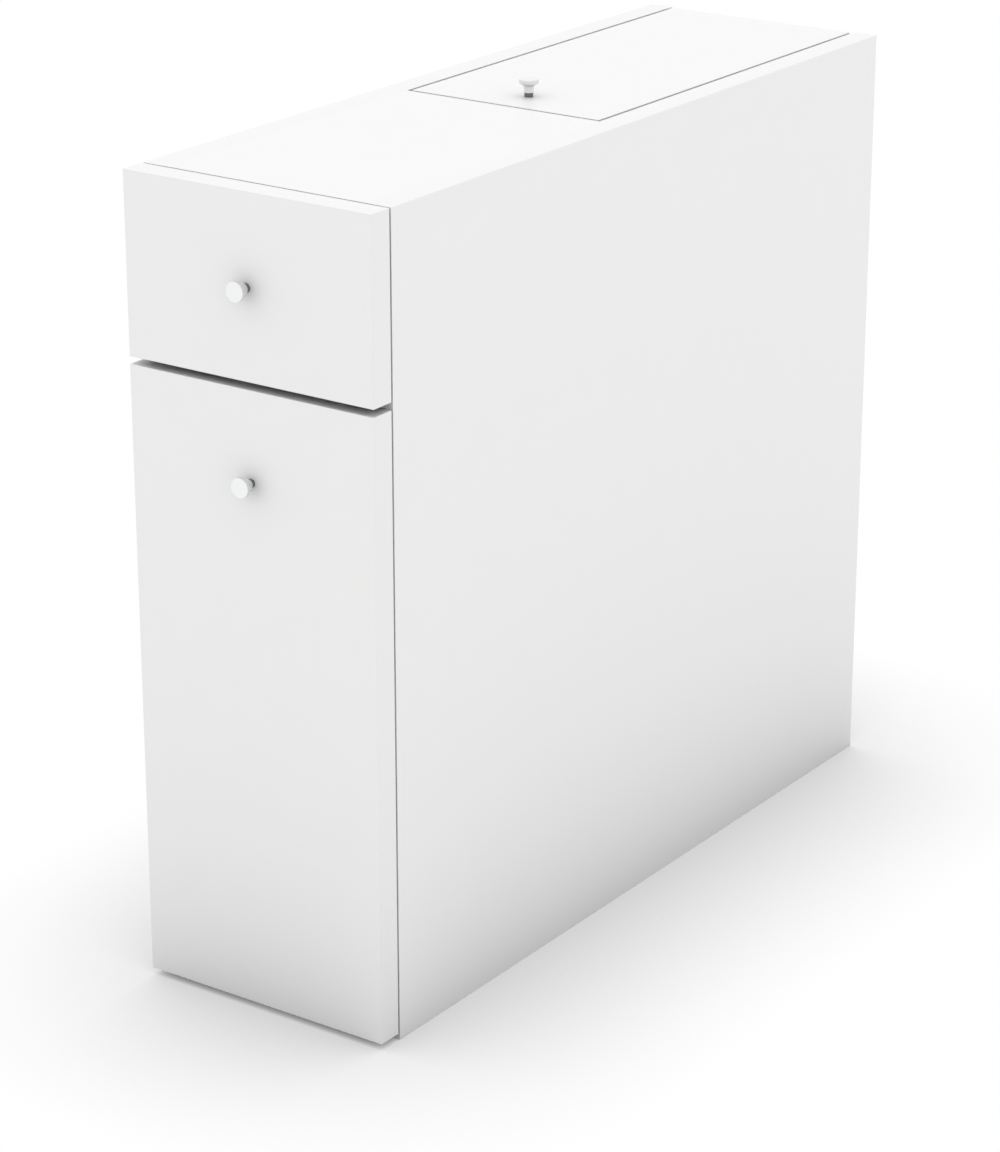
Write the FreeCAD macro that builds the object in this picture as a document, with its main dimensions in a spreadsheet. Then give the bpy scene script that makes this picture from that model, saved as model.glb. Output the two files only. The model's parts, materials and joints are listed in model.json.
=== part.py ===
import FreeCAD, Part
import math
import os
import re
from enum import IntEnum

import Sketcher

# Slim floor-standing bathroom cabinet of white melamine board. A drawer and a taller pull-out
# run out at the front on roller runners, and a lid at the rear opens over a deep compartment.
#
# Frame: +X to the right, the fronts face -Y, +Z up. The origin is on the floor, at the centre
# of the outside box with the knobs.
#
# Formulas below are in cabinet coordinates: x from the middle plane, y backwards from the
# outer face of the fronts, z up from the floor. Every body is then set into the frame by FRAME_Y.

SIZES = {
    # Outside
    "cabinet_width": 190,
    "cabinet_height": 550,
    "cabinet_depth": 600,
    "board": 18,
    "edge_radius": 0.8,
    # Fronts
    "front_gap": 1.5,
    "reveal": 5,
    "floor_clearance": 5,
    "drawer_front_height": 120,
    "bumper_diameter": 8,
    "bumper_inset": 15,
    # Carcass
    "top_depth": 250,
    "partition_lap": 9,
    "base_height": 12,
    "rear_rail_height": 60,
    "back_board": 3,
    "back_inset": 10,
    "groove_depth": 6,
    "groove_play": 0.2,
    # Lid
    "lid_gap": 2.5,
    "lid_setback": 3,
    "pivot_inset": 12,
    "swing_clearance": 1,
    "pivot_pin_diameter": 6,
    "pivot_pin_seat": 12,
    "pivot_pin_reach": 13,
    "pivot_clearance": 0.05,
    "pivot_bush_diameter": 10,
    "pivot_bush_length": 14,
    # Joints between boards
    "joint_inset": 37,
    "joint_pitch": 32,
    "rail_joint_inset": 16,
    "fit_play": 0.1,
    "bore_spare": 0.5,
    "cam_diameter": 15,
    "cam_depth": 13.5,
    "cam_setback": 24,
    "bolt_diameter": 6,
    "bolt_overrun": 2,
    "bolt_room": 0.4,
    "bolt_thread_diameter": 5,
    "bolt_thread_length": 11,
    "dowel_diameter": 8,
    "dowel_side_seat": 12,
    "dowel_end_seat": 22,
    "nail_diameter": 1.6,
    "nail_length": 20,
    "nail_head_diameter": 4,
    "nail_head_height": 0.8,
    "nail_inset": 25,
    # Drawer and pull-out boxes
    "box_board": 12,
    "box_bottom": 3,
    "bottom_lift": 10,
    "bottom_groove": 5,
    "box_rear_clearance": 10,
    "box_floor_clearance": 8,
    "drawer_headroom": 11,
    "pullout_headroom": 78,
    "box_joint_inset": 20,
    "box_dowel_diameter": 6,
    "box_dowel_front_seat": 11,
    "box_dowel_side_seat": 17,
    "box_screw_diameter": 3.5,
    "box_screw_length": 30,
    "box_screw_head_diameter": 7,
    "box_screw_head_height": 2,
    # Roller runners
    "runner_steel": 1.2,
    "roller_diameter": 14.4,
    "roller_width": 6,
    "roller_play": 0.3,
    "roller_side_play": 0.5,
    "roller_inset": 12,
    "axle_diameter": 4,
    "axle_clearance": 0.08,
    "axle_head_diameter": 7,
    "axle_head_height": 0.8,
    "track_lift": 4,
    "track_setback": 2,
    "track_rear_clearance": 1,
    "runner_play": 0.6,
    "flange_clearance": 2.2,
    "runner_screw_diameter": 3.5,
    "runner_screw_head_diameter": 7,
    "runner_screw_head_height": 1.6,
    "runner_pass_clearance": 0.7,
    "track_screw_length": 15,
    "rail_screw_length": 11,
    "rail_screw_height": 5,
    # Knobs
    "knob_projection": 12,
    "knob_head_diameter": 13.2,
    "knob_rim_height": 2.6,
    "knob_rim_radius": 0.5,
    "knob_cone_height": 2.2,
    "knob_neck_top_diameter": 7.2,
    "knob_neck_diameter": 6.2,
    "knob_ring_diameter": 7,
    "knob_ring_height": 0.9,
    "knob_collar_diameter": 6,
    "knob_collar_height": 3,
    "knob_drop": 60,
    "lid_knob_inset": 29,
    "knob_screw_diameter": 4,
    "knob_screw_bite": 6,
    "knob_screw_head_diameter": 8,
    "knob_screw_head_height": 2.4,
}

# Places worked out from the sizes
FRAME_Y = "((knob_projection - cabinet_depth) / 2)"
HALF_WIDTH = "(cabinet_width / 2)"
HALF_INNER = f"({HALF_WIDTH} - board)"
CARCASS_FRONT = "(board + front_gap)"
BASE_TOP = "(base_height + board)"
TOP_UNDERSIDE = "(cabinet_height - board)"
TOP_REAR = f"({CARCASS_FRONT} + top_depth)"
PARTITION_FRONT = f"({TOP_REAR} - partition_lap)"
DRAWER_FRONT_LOW = "(cabinet_height - drawer_front_height)"
PULLOUT_FRONT_TOP = f"({DRAWER_FRONT_LOW} - reveal)"
SHELF_LOW = f"({PULLOUT_FRONT_TOP} + reveal / 2 - board / 2)"
SHELF_TOP = f"({SHELF_LOW} + board)"
BACK_REAR = "(cabinet_depth - back_inset)"
BACK_FRONT = f"({BACK_REAR} - back_board)"

LID_EDGE = f"({HALF_INNER} - lid_gap)"
LID_FRONT = f"({TOP_REAR} + lid_gap)"
LID_REAR = "(cabinet_depth - lid_setback)"
LID_KNOB_Y = f"({LID_FRONT} + lid_knob_inset)"
PIVOT_Y = f"({LID_REAR} - pivot_inset)"
PIVOT_Z = "(cabinet_height - board / 2)"
LID_SWING = "sqrt(pivot_inset ^ 2 + (board / 2) ^ 2)"

RAIL_FRONT = f"({BACK_FRONT} - board)"
RAIL_TOP = f"({PIVOT_Z} - {LID_SWING} - swing_clearance)"
RAIL_LOW = f"({RAIL_TOP} - rear_rail_height)"

# The gap beside a box holds both runner profiles, a roller, and the heads that pass each other.
RUNNER_SPACE = (
    "(2 * runner_steel + roller_width + 2 * roller_side_play + axle_head_height"
    " + runner_screw_head_height + runner_pass_clearance)"
)
BOX_OUTER = f"({HALF_INNER} - {RUNNER_SPACE})"
BOX_INNER = f"({BOX_OUTER} - box_board)"
BOX_MIDDLE = f"({BOX_OUTER} - box_board / 2)"
BOX_REAR = f"({PARTITION_FRONT} - box_rear_clearance)"
TRACK_WEB = f"({HALF_INNER} - runner_steel)"
RAIL_WEB = f"({BOX_OUTER} + runner_steel)"
TRACK_LIP = f"({RAIL_WEB} + flange_clearance)"
RAIL_LIP = f"({TRACK_WEB} - flange_clearance)"
TRACK_ROLLER_Y = f"({CARCASS_FRONT} + roller_inset)"
RAIL_ROLLER_Y = f"({BOX_REAR} - roller_inset)"
RUNNER_SCREW_ROWS = [f"{CARCASS_FRONT} + joint_inset", f"{BOX_REAR} - joint_inset"]

# Slack allowed when a height is read back from a shape
TOLERANCE = 1e-6
# Size that a sketch element starts with, before its formula sets it
FIRST_GUESS = 1.0


class SketchPoint(IntEnum):
    """Points of a sketch element that a constraint can hold."""

    START = 1
    END = 2
    CENTRE = 3


class SketchAxis(IntEnum):
    """Axes of a sketch. The start of its X axis is its origin."""

    X = -1
    Y = -2


doc = FreeCAD.newDocument("bathroom_cabinet")
size_table = doc.addObject("Spreadsheet::Sheet", "sizes")
for row, (alias, value) in enumerate(SIZES.items(), start=1):
    size_table.set(f"A{row}", alias)
    size_table.set(f"B{row}", str(value))
    size_table.setAlias(f"B{row}", alias)
doc.recompute()

nodes = []


def formula(text):
    """Spell a formula in plain size names as an expression on the size table."""
    def spell(word):
        name = word.group()
        return f"sizes.{name}" if name in SIZES else name

    return re.sub(r"[a-z_]+", spell, text)


def new_body(name, place=("0", FRAME_Y, "0"), turn=FreeCAD.Rotation()):
    """Start a body whose place in the frame is bound to the size table."""
    body = doc.addObject("PartDesign::Body", name)
    body.Label = name
    body.Placement = FreeCAD.Placement(FreeCAD.Vector(), turn)
    for axis, text in zip("xyz", place):
        body.setExpression(f"Placement.Base.{axis}", formula(text))
    return body


def keep(item):
    """Count an object as a finished sub-part."""
    nodes.append(item)
    return item


def keep_mirrored(right, name):
    """Keep a right-hand sub-part and its mirror image as two nodes, name_right and name_left."""
    right.Label = f"{name}_right"
    left = doc.addObject("Part::Mirroring", f"{name}_left")
    left.Source = right
    left.Normal = FreeCAD.Vector(1, 0, 0)
    left.Label = f"{name}_left"
    keep(right)
    keep(left)


def keep_both_sides(right, name):
    """Keep the pieces of the right side and their mirror images as one node of separate solids."""
    right.Label = f"{name} of the right side"
    left = doc.addObject("Part::Mirroring", f"{name}_of_left_side")
    left.Source = right
    left.Normal = FreeCAD.Vector(1, 0, 0)
    group = doc.addObject("Part::Compound", name)
    group.Links = [right, left]
    group.Label = name
    keep(group)


def new_sketch(body, plane, offset):
    """Sketch on an origin plane of the body, moved by offset along the axis that crosses it."""
    sketch = body.newObject("Sketcher::SketchObject", f"{body.Name}_sketch")
    support = next(item for item in body.Origin.OriginFeatures if item.Role == f"{plane}_Plane")
    sketch.AttachmentSupport = [(support, "")]
    sketch.MapMode = "FlatFace"
    sign = "-" if plane == "XZ" else ""
    sketch.setExpression("AttachmentOffset.Base.z", formula(f"{sign}({offset})"))
    return sketch


def pin_point(sketch, edge, end, across, along):
    """Hold a sketch point at two coordinates, each a formula."""
    origin = (SketchAxis.X, SketchPoint.START)
    for kind, axis, text in (("DistanceX", SketchAxis.Y, across), ("DistanceY", SketchAxis.X, along)):
        if text == "0":
            sketch.addConstraint(Sketcher.Constraint("PointOnObject", edge, end, axis))
            continue
        number = sketch.addConstraint(Sketcher.Constraint(kind, *origin, edge, end, FIRST_GUESS))
        sketch.setExpression(f"Constraints[{number}]", formula(text))


def draw_polygon(sketch, corners):
    """Draw a closed outline through corners, from any first guess on a circle."""
    count = len(corners)
    turns = [2 * math.pi * index / count for index in range(count)]
    guess = [FreeCAD.Vector(math.cos(turn), math.sin(turn), 0) for turn in turns]
    for index in range(count):
        sketch.addGeometry(Part.LineSegment(guess[index], guess[(index + 1) % count]))
    for index in range(count):
        following = (index + 1) % count
        ends = (index, SketchPoint.END, following, SketchPoint.START)
        sketch.addConstraint(Sketcher.Constraint("Coincident", *ends))
    for index, (across, along) in enumerate(corners):
        pin_point(sketch, index, SketchPoint.START, across, along)


def draw_circles(sketch, centres, diameter):
    """Draw one circle of the same diameter at each centre."""
    for index, (across, along) in enumerate(centres):
        middle = FreeCAD.Vector(index + 1, index + 1, 0)
        sketch.addGeometry(Part.Circle(middle, FreeCAD.Vector(0, 0, 1), FIRST_GUESS))
        pin_point(sketch, index, SketchPoint.CENTRE, across, along)
        number = sketch.addConstraint(Sketcher.Constraint("Diameter", index, 2 * FIRST_GUESS))
        sketch.setExpression(f"Constraints[{number}]", formula(diameter))


def rectangle(low, high):
    """The four corners of a rectangle between two opposite ones."""
    return [(low[0], low[1]), (high[0], low[1]), (high[0], high[1]), (low[0], high[1])]


def pad(body, sketch, plane, length):
    """Raise a sketch along the positive axis that crosses its plane."""
    feature = body.newObject("PartDesign::Pad", f"{body.Name}_pad")
    feature.Profile = sketch
    feature.Reversed = plane == "XZ"
    feature.setExpression("Length", formula(length))
    doc.recompute()
    return feature


def cut(body, sketch, plane, depth, forwards):
    """Sink a sketch into the body, along the axis that crosses its plane if forwards."""
    before = body.Shape.Volume
    feature = body.newObject("PartDesign::Pocket", f"{body.Name}_cut")
    feature.Profile = sketch
    feature.Reversed = forwards == (plane != "XZ")
    feature.setExpression("Length", formula(depth))
    doc.recompute()
    if body.Shape.Volume >= before:
        raise RuntimeError(f"a cut in {body.Label} removes nothing")


def add_outline(body, plane, offset, corners, length):
    """Pad a closed outline."""
    sketch = new_sketch(body, plane, offset)
    draw_polygon(sketch, corners)
    return pad(body, sketch, plane, length)


def add_rods(body, plane, offset, centres, diameter, length):
    """Pad a round rod at each centre."""
    sketch = new_sketch(body, plane, offset)
    draw_circles(sketch, centres, diameter)
    pad(body, sketch, plane, length)


def drill(body, plane, offset, centres, diameter, depth, forwards):
    """Drill a round hole at each centre."""
    sketch = new_sketch(body, plane, offset)
    draw_circles(sketch, centres, diameter)
    cut(body, sketch, plane, depth, forwards)


def drill_ends(body, end, centres, diameter, depth):
    """Drill the same holes into both ends of a board that spans from -end to end along X."""
    drill(body, "YZ", end, centres, diameter, depth, forwards=False)
    drill(body, "YZ", f"-{end}", centres, diameter, depth, forwards=True)


def cut_groove(body, plane, offset, low, high, depth, forwards):
    """Cut a rectangular groove."""
    sketch = new_sketch(body, plane, offset)
    draw_polygon(sketch, rectangle(low, high))
    cut(body, sketch, plane, depth, forwards)


def round_all_edges(body, feature):
    """Round every edge of a board's first pad."""
    rounding = body.newObject("PartDesign::Fillet", f"{body.Name}_rounding")
    rounding.Base = (feature, [])
    rounding.UseAllEdges = True
    rounding.setExpression("Radius", formula("edge_radius"))
    doc.recompute()


def turn_profile(body, corners):
    """Revolve an outline, given as radius and height, about the body's Z axis."""
    sketch = new_sketch(body, "XZ", "0")
    draw_polygon(sketch, corners)
    feature = body.newObject("PartDesign::Revolution", f"{body.Name}_turned")
    feature.Profile = sketch
    feature.ReferenceAxis = (sketch, ["V_Axis"])
    feature.Angle = 360
    doc.recompute()
    return feature


def mirrored_pair(across, along):
    """The same place on the left and on the right."""
    return [(f"-{across}", along), (across, along)]


def fitted(diameter):
    """Diameter of the bore for a piece of the given diameter."""
    return f"{diameter} + 2 * fit_play"


# Places of the cams, bolts and dowels, as (y, z) on the inner face of a side panel
TOP_JOINT_Z = f"({TOP_UNDERSIDE} + board / 2)"
SHELF_JOINT_Z = f"({SHELF_LOW} + board / 2)"
BASE_JOINT_Z = "(base_height + board / 2)"
PARTITION_JOINT_Y = f"({PARTITION_FRONT} + board / 2)"
RAIL_JOINT_Y = f"({RAIL_FRONT} + board / 2)"
CAM_SPAN = {
    "top_panel": (CARCASS_FRONT, TOP_REAR),
    "drawer_shelf": (CARCASS_FRONT, PARTITION_FRONT),
    "base_panel": (CARCASS_FRONT, BACK_FRONT),
    "partition": (BASE_TOP, TOP_UNDERSIDE),
}


def cam_rows(panel):
    """Places of the two cams along a panel's end."""
    low, high = CAM_SPAN[panel]
    return [f"({low} + joint_inset)", f"({high} - joint_inset)"]


def dowel_rows(panel):
    """Places of the two dowels along a panel's end, one pitch inside the cams."""
    low, high = CAM_SPAN[panel]
    return [f"({low} + joint_inset + joint_pitch)", f"({high} - joint_inset - joint_pitch)"]


RAIL_CAM_ROW = f"({RAIL_LOW} + rail_joint_inset)"
RAIL_DOWEL_ROW = f"({RAIL_TOP} - rail_joint_inset)"
CAM_POINTS = {
    "top_panel": [(y, TOP_JOINT_Z) for y in cam_rows("top_panel")],
    "drawer_shelf": [(y, SHELF_JOINT_Z) for y in cam_rows("drawer_shelf")],
    "base_panel": [(y, BASE_JOINT_Z) for y in cam_rows("base_panel")],
    "partition": [(PARTITION_JOINT_Y, z) for z in cam_rows("partition")],
    "rear_rail": [(RAIL_JOINT_Y, RAIL_CAM_ROW)],
}
DOWEL_POINTS = {
    "top_panel": [(y, TOP_JOINT_Z) for y in dowel_rows("top_panel")],
    "drawer_shelf": [(y, SHELF_JOINT_Z) for y in dowel_rows("drawer_shelf")],
    "base_panel": [(y, BASE_JOINT_Z) for y in dowel_rows("base_panel")],
    "partition": [(PARTITION_JOINT_Y, z) for z in dowel_rows("partition")],
    "rear_rail": [(RAIL_JOINT_Y, RAIL_DOWEL_ROW)],
}
ALL_CAM_POINTS = [point for points in CAM_POINTS.values() for point in points]
ALL_DOWEL_POINTS = [point for points in DOWEL_POINTS.values() for point in points]
CAM_X = f"({HALF_INNER} - cam_setback)"
NAIL_X = f"({HALF_INNER} - nail_inset)"
RAIL_NAIL_Z = f"({RAIL_LOW} + rear_rail_height / 2)"


class Runner:
    """Heights of one pair of roller runners, from the underside of the box that they carry."""

    def __init__(self, box_low):
        self.box_low = box_low
        self.floor = f"({box_low} + track_lift)"
        self.axis = f"({self.floor} + roller_play + roller_diameter / 2)"
        self.flange = f"({self.floor} + roller_diameter + 2 * roller_play)"
        self.ceiling = f"({self.flange} + runner_steel + runner_play)"
        self.track_screws = [(y, self.axis) for y in RUNNER_SCREW_ROWS]
        self.rail_screws = [(y, f"{box_low} + rail_screw_height") for y in RUNNER_SCREW_ROWS]


DRAWER_LOW = f"({SHELF_TOP} + box_floor_clearance + runner_steel)"
DRAWER_TOP = f"({TOP_UNDERSIDE} - drawer_headroom)"
PULLOUT_LOW = f"({BASE_TOP} + box_floor_clearance + runner_steel)"
PULLOUT_TOP = f"({SHELF_LOW} - pullout_headroom)"
RUNNERS = {"drawer": Runner(DRAWER_LOW), "pullout": Runner(PULLOUT_LOW)}


def build_side_panels():
    """Side panels that stand on the floor, with every blind bore on the inner face."""
    body = new_body("side_panel_right")
    outline = rectangle((CARCASS_FRONT, "0"), ("cabinet_depth", "cabinet_height"))
    add_outline(body, "YZ", HALF_INNER, outline, "board")
    groove_low = (BACK_FRONT, "base_height - groove_play")
    groove_high = (f"{BACK_REAR} + groove_play", f"{RAIL_TOP} + groove_play")
    cut_groove(body, "YZ", HALF_INNER, groove_low, groove_high, "groove_depth", forwards=True)
    track_screws = [point for runner in RUNNERS.values() for point in runner.track_screws]
    bores = [
        (ALL_CAM_POINTS, "bolt_thread_diameter", "bolt_thread_length"),
        (ALL_DOWEL_POINTS, "dowel_diameter", "dowel_side_seat"),
        ([(PIVOT_Y, PIVOT_Z)], "pivot_pin_diameter", "pivot_pin_seat"),
        (track_screws, "runner_screw_diameter", "track_screw_length"),
    ]
    for centres, diameter, depth in bores:
        drill(body, "YZ", HALF_INNER, centres, fitted(diameter), f"{depth} + bore_spare", forwards=True)
    keep_mirrored(body, "side_panel")


def bore_panel_ends(body):
    """Dowel holes and bolt holes in both ends of a board between the side panels."""
    dowels, cams = DOWEL_POINTS[body.Name], CAM_POINTS[body.Name]
    drill_ends(body, HALF_INNER, dowels, fitted("dowel_diameter"), "dowel_end_seat + bore_spare")
    drill_ends(body, HALF_INNER, cams, "bolt_diameter + 2 * bolt_room", "cam_setback")


def build_level_panel(name, low):
    """A level board between the side panels, with its cams let into the underside."""
    front, rear = CAM_SPAN[name]
    body = new_body(name)
    add_outline(body, "XY", low, rectangle((f"-{HALF_INNER}", front), (HALF_INNER, rear)), "board")
    bore_panel_ends(body)
    cams = [place for y in cam_rows(name) for place in mirrored_pair(CAM_X, y)]
    drill(body, "XY", low, cams, fitted("cam_diameter"), "cam_depth + fit_play", forwards=True)
    return keep(body)


def build_upright_panel(name, front, low, high, cam_heights):
    """An upright board across the cabinet, with its cams let into the front face."""
    body = new_body(name)
    add_outline(body, "XZ", front, rectangle((f"-{HALF_INNER}", low), (HALF_INNER, high)), "board")
    bore_panel_ends(body)
    cams = [place for z in cam_heights for place in mirrored_pair(CAM_X, z)]
    drill(body, "XZ", front, cams, fitted("cam_diameter"), "cam_depth + fit_play", forwards=True)
    return keep(body)


def nail_points(height):
    """Three nails across the cabinet at one height."""
    return mirrored_pair(NAIL_X, height) + [("0", height)]


def build_carcass_panels():
    """Fixed top, shelf under the drawer, base, partition, rear rail and thin back."""
    build_level_panel("top_panel", TOP_UNDERSIDE)
    build_level_panel("drawer_shelf", SHELF_LOW)
    base = build_level_panel("base_panel", "base_height")
    build_upright_panel("partition", PARTITION_FRONT, BASE_TOP, TOP_UNDERSIDE, cam_rows("partition"))
    rail = build_upright_panel("rear_rail", RAIL_FRONT, RAIL_LOW, RAIL_TOP, [RAIL_CAM_ROW])
    nail_bore = fitted("nail_diameter")
    for body, height in ((base, BASE_JOINT_Z), (rail, RAIL_NAIL_Z)):
        drill(body, "XZ", BACK_FRONT, nail_points(height), nail_bore, "nail_length", forwards=False)

    back = new_body("back_panel")
    half = f"({HALF_INNER} + groove_depth - groove_play)"
    outline = rectangle((f"-{half}", "base_height"), (half, RAIL_TOP))
    add_outline(back, "XZ", BACK_FRONT, outline, "back_board")
    all_nails = nail_points(BASE_JOINT_Z) + nail_points(RAIL_NAIL_Z)
    drill(back, "XZ", BACK_FRONT, all_nails, nail_bore, "back_board + bore_spare", forwards=True)
    keep(back)

    nails = new_body("back_panel_nails")
    add_rods(nails, "XZ", f"{BACK_REAR} - nail_length", all_nails, "nail_diameter", "nail_length")
    add_rods(nails, "XZ", BACK_REAR, all_nails, "nail_head_diameter", "nail_head_height")
    keep(nails)


def build_carcass_fittings():
    """Cams, bolts and dowels that hold the carcass together without a screw on the outside."""
    cams = new_body("cam_locks_right")
    undersides = {"top_panel": TOP_UNDERSIDE, "drawer_shelf": SHELF_LOW, "base_panel": "base_height"}
    for name, low in undersides.items():
        add_rods(cams, "XY", low, [(CAM_X, y) for y in cam_rows(name)], "cam_diameter", "cam_depth")
    for front, heights in ((PARTITION_FRONT, cam_rows("partition")), (RAIL_FRONT, [RAIL_CAM_ROW])):
        add_rods(cams, "XZ", front, [(CAM_X, z) for z in heights], "cam_diameter", "cam_depth")
    bolt_bore = "bolt_diameter + 2 * bolt_room"
    bolt_depth = "cam_setback + bolt_overrun + bore_spare"
    drill(cams, "YZ", HALF_INNER, ALL_CAM_POINTS, bolt_bore, bolt_depth, forwards=False)
    keep_both_sides(cams, "cam_locks")

    bolts = new_body("cam_bolts_right")
    bolt_start = f"{HALF_INNER} - cam_setback - bolt_overrun"
    add_rods(bolts, "YZ", bolt_start, ALL_CAM_POINTS, "bolt_diameter", "cam_setback + bolt_overrun")
    add_rods(bolts, "YZ", HALF_INNER, ALL_CAM_POINTS, "bolt_thread_diameter", "bolt_thread_length")
    keep_both_sides(bolts, "cam_bolts")

    dowels = new_body("carcass_dowels_right")
    dowel_start = f"{HALF_INNER} - dowel_end_seat"
    dowel_length = "dowel_end_seat + dowel_side_seat"
    add_rods(dowels, "YZ", dowel_start, ALL_DOWEL_POINTS, "dowel_diameter", dowel_length)
    keep_both_sides(dowels, "carcass_dowels")

    bumpers = new_body("front_bumpers")
    edge_middle = f"({HALF_WIDTH} - board / 2)"
    heights = [
        "floor_clearance + bumper_inset",
        f"{PULLOUT_FRONT_TOP} - bumper_inset",
        f"{DRAWER_FRONT_LOW} + bumper_inset",
        "cabinet_height - bumper_inset",
    ]
    places = [place for height in heights for place in mirrored_pair(edge_middle, height)]
    add_rods(bumpers, "XZ", "board", places, "bumper_diameter", "front_gap")
    keep(bumpers)


def build_tracks(name):
    """Channel profiles, screwed to the side panels, that a pair of rollers runs in."""
    runner = RUNNERS[name]
    start = f"({CARCASS_FRONT} + track_setback)"
    body = new_body(f"{name}_track_right")
    profile = [
        (TRACK_LIP, f"{runner.floor} - runner_steel"),
        (HALF_INNER, f"{runner.floor} - runner_steel"),
        (HALF_INNER, f"{runner.ceiling} + runner_steel"),
        (TRACK_LIP, f"{runner.ceiling} + runner_steel"),
        (TRACK_LIP, runner.ceiling),
        (TRACK_WEB, runner.ceiling),
        (TRACK_WEB, runner.floor),
        (TRACK_LIP, runner.floor),
    ]
    length = f"{PARTITION_FRONT} - track_rear_clearance - {start}"
    add_outline(body, "XZ", start, profile, length)
    axle = [(TRACK_ROLLER_Y, runner.axis)]
    for centres, diameter in ((axle, "axle_diameter"), (runner.track_screws, "runner_screw_diameter")):
        drill(body, "YZ", TRACK_WEB, centres, fitted(diameter), "runner_steel", forwards=True)
    keep_mirrored(body, f"{name}_track")


def build_track_screws():
    """Pan-head screws of all four tracks."""
    centres = [point for runner in RUNNERS.values() for point in runner.track_screws]
    body = new_body("track_screws_right")
    start = f"{TRACK_WEB} - runner_screw_head_height"
    add_rods(body, "YZ", start, centres, "runner_screw_head_diameter", "runner_screw_head_height")
    add_rods(body, "YZ", TRACK_WEB, centres, "runner_screw_diameter", "track_screw_length")
    keep_both_sides(body, "track_screws")


def build_track_axles():
    """Riveted pins on the tracks, one for each fixed roller."""
    centres = [(TRACK_ROLLER_Y, runner.axis) for runner in RUNNERS.values()]
    head = f"({TRACK_WEB} - 2 * roller_side_play - roller_width - axle_head_height)"
    body = new_body("track_axles_right")
    add_rods(body, "YZ", head, centres, "axle_head_diameter", "axle_head_height")
    shank = f"{head} + axle_head_height"
    add_rods(body, "YZ", shank, centres, "axle_diameter", f"{HALF_INNER} - ({shank})")
    keep_both_sides(body, "track_axles")


def build_rollers(node, start, centre):
    """A pair of nylon rollers, one on each side, with running clearance on their axles."""
    body = new_body(f"{node}_right")
    add_rods(body, "YZ", start, [centre], "roller_diameter", "roller_width")
    bore = "axle_diameter + 2 * axle_clearance"
    drill(body, "YZ", start, [centre], bore, "roller_width", forwards=True)
    keep_both_sides(body, node)


def build_rails(name):
    """Profiles under the sides of a box, whose flange runs on the fixed rollers."""
    runner = RUNNERS[name]
    start = f"({CARCASS_FRONT} + track_setback)"
    body = new_body(f"{name}_rail_right")
    profile = [
        (BOX_INNER, f"{runner.box_low} - runner_steel"),
        (RAIL_WEB, f"{runner.box_low} - runner_steel"),
        (RAIL_WEB, runner.flange),
        (RAIL_LIP, runner.flange),
        (RAIL_LIP, f"{runner.flange} + runner_steel"),
        (BOX_OUTER, f"{runner.flange} + runner_steel"),
        (BOX_OUTER, runner.box_low),
        (BOX_INNER, runner.box_low),
    ]
    add_outline(body, "XZ", start, profile, f"{BOX_REAR} - {start}")
    axle = [(RAIL_ROLLER_Y, runner.axis)]
    for centres, diameter in ((axle, "axle_diameter"), (runner.rail_screws, "runner_screw_diameter")):
        drill(body, "YZ", BOX_OUTER, centres, fitted(diameter), "runner_steel", forwards=True)
    keep_mirrored(body, f"{name}_rail")

    screws = new_body(f"{name}_rail_screws_right")
    centres = runner.rail_screws
    shank = f"{RAIL_WEB} - rail_screw_length"
    add_rods(screws, "YZ", shank, centres, "runner_screw_diameter", "rail_screw_length")
    add_rods(screws, "YZ", RAIL_WEB, centres, "runner_screw_head_diameter", "runner_screw_head_height")
    keep_both_sides(screws, f"{name}_rail_screws")

    axles = new_body(f"{name}_rail_axles_right")
    shank_length = "runner_steel + 2 * roller_side_play + roller_width"
    add_rods(axles, "YZ", BOX_OUTER, axle, "axle_diameter", shank_length)
    head = f"{BOX_OUTER} + {shank_length}"
    add_rods(axles, "YZ", head, axle, "axle_head_diameter", "axle_head_height")
    keep_both_sides(axles, f"{name}_rail_axles")


def build_front(name, low, high, knob_height, dowel_heights):
    """A front with rounded edges, bored for its knob and grooved for the bottom of its box."""
    body = new_body(f"{name}_front")
    outline = rectangle((f"-{HALF_WIDTH}", low), (HALF_WIDTH, high))
    round_all_edges(body, add_outline(body, "XZ", "0", outline, "board"))
    drill(body, "XZ", "0", [("0", knob_height)], fitted("knob_screw_diameter"), "board", forwards=True)
    bottom_low = f"{RUNNERS[name].box_low} + bottom_lift"
    groove_low = (f"-({BOX_INNER} + bottom_groove)", bottom_low)
    groove_high = (f"({BOX_INNER} + bottom_groove)", f"{bottom_low} + box_bottom + groove_play")
    cut_groove(body, "XZ", "board", groove_low, groove_high, "bottom_groove", forwards=False)
    dowels = [place for height in dowel_heights for place in mirrored_pair(BOX_MIDDLE, height)]
    depth = "box_dowel_front_seat + bore_spare"
    drill(body, "XZ", "board", dowels, fitted("box_dowel_diameter"), depth, forwards=False)
    keep(body)


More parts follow.
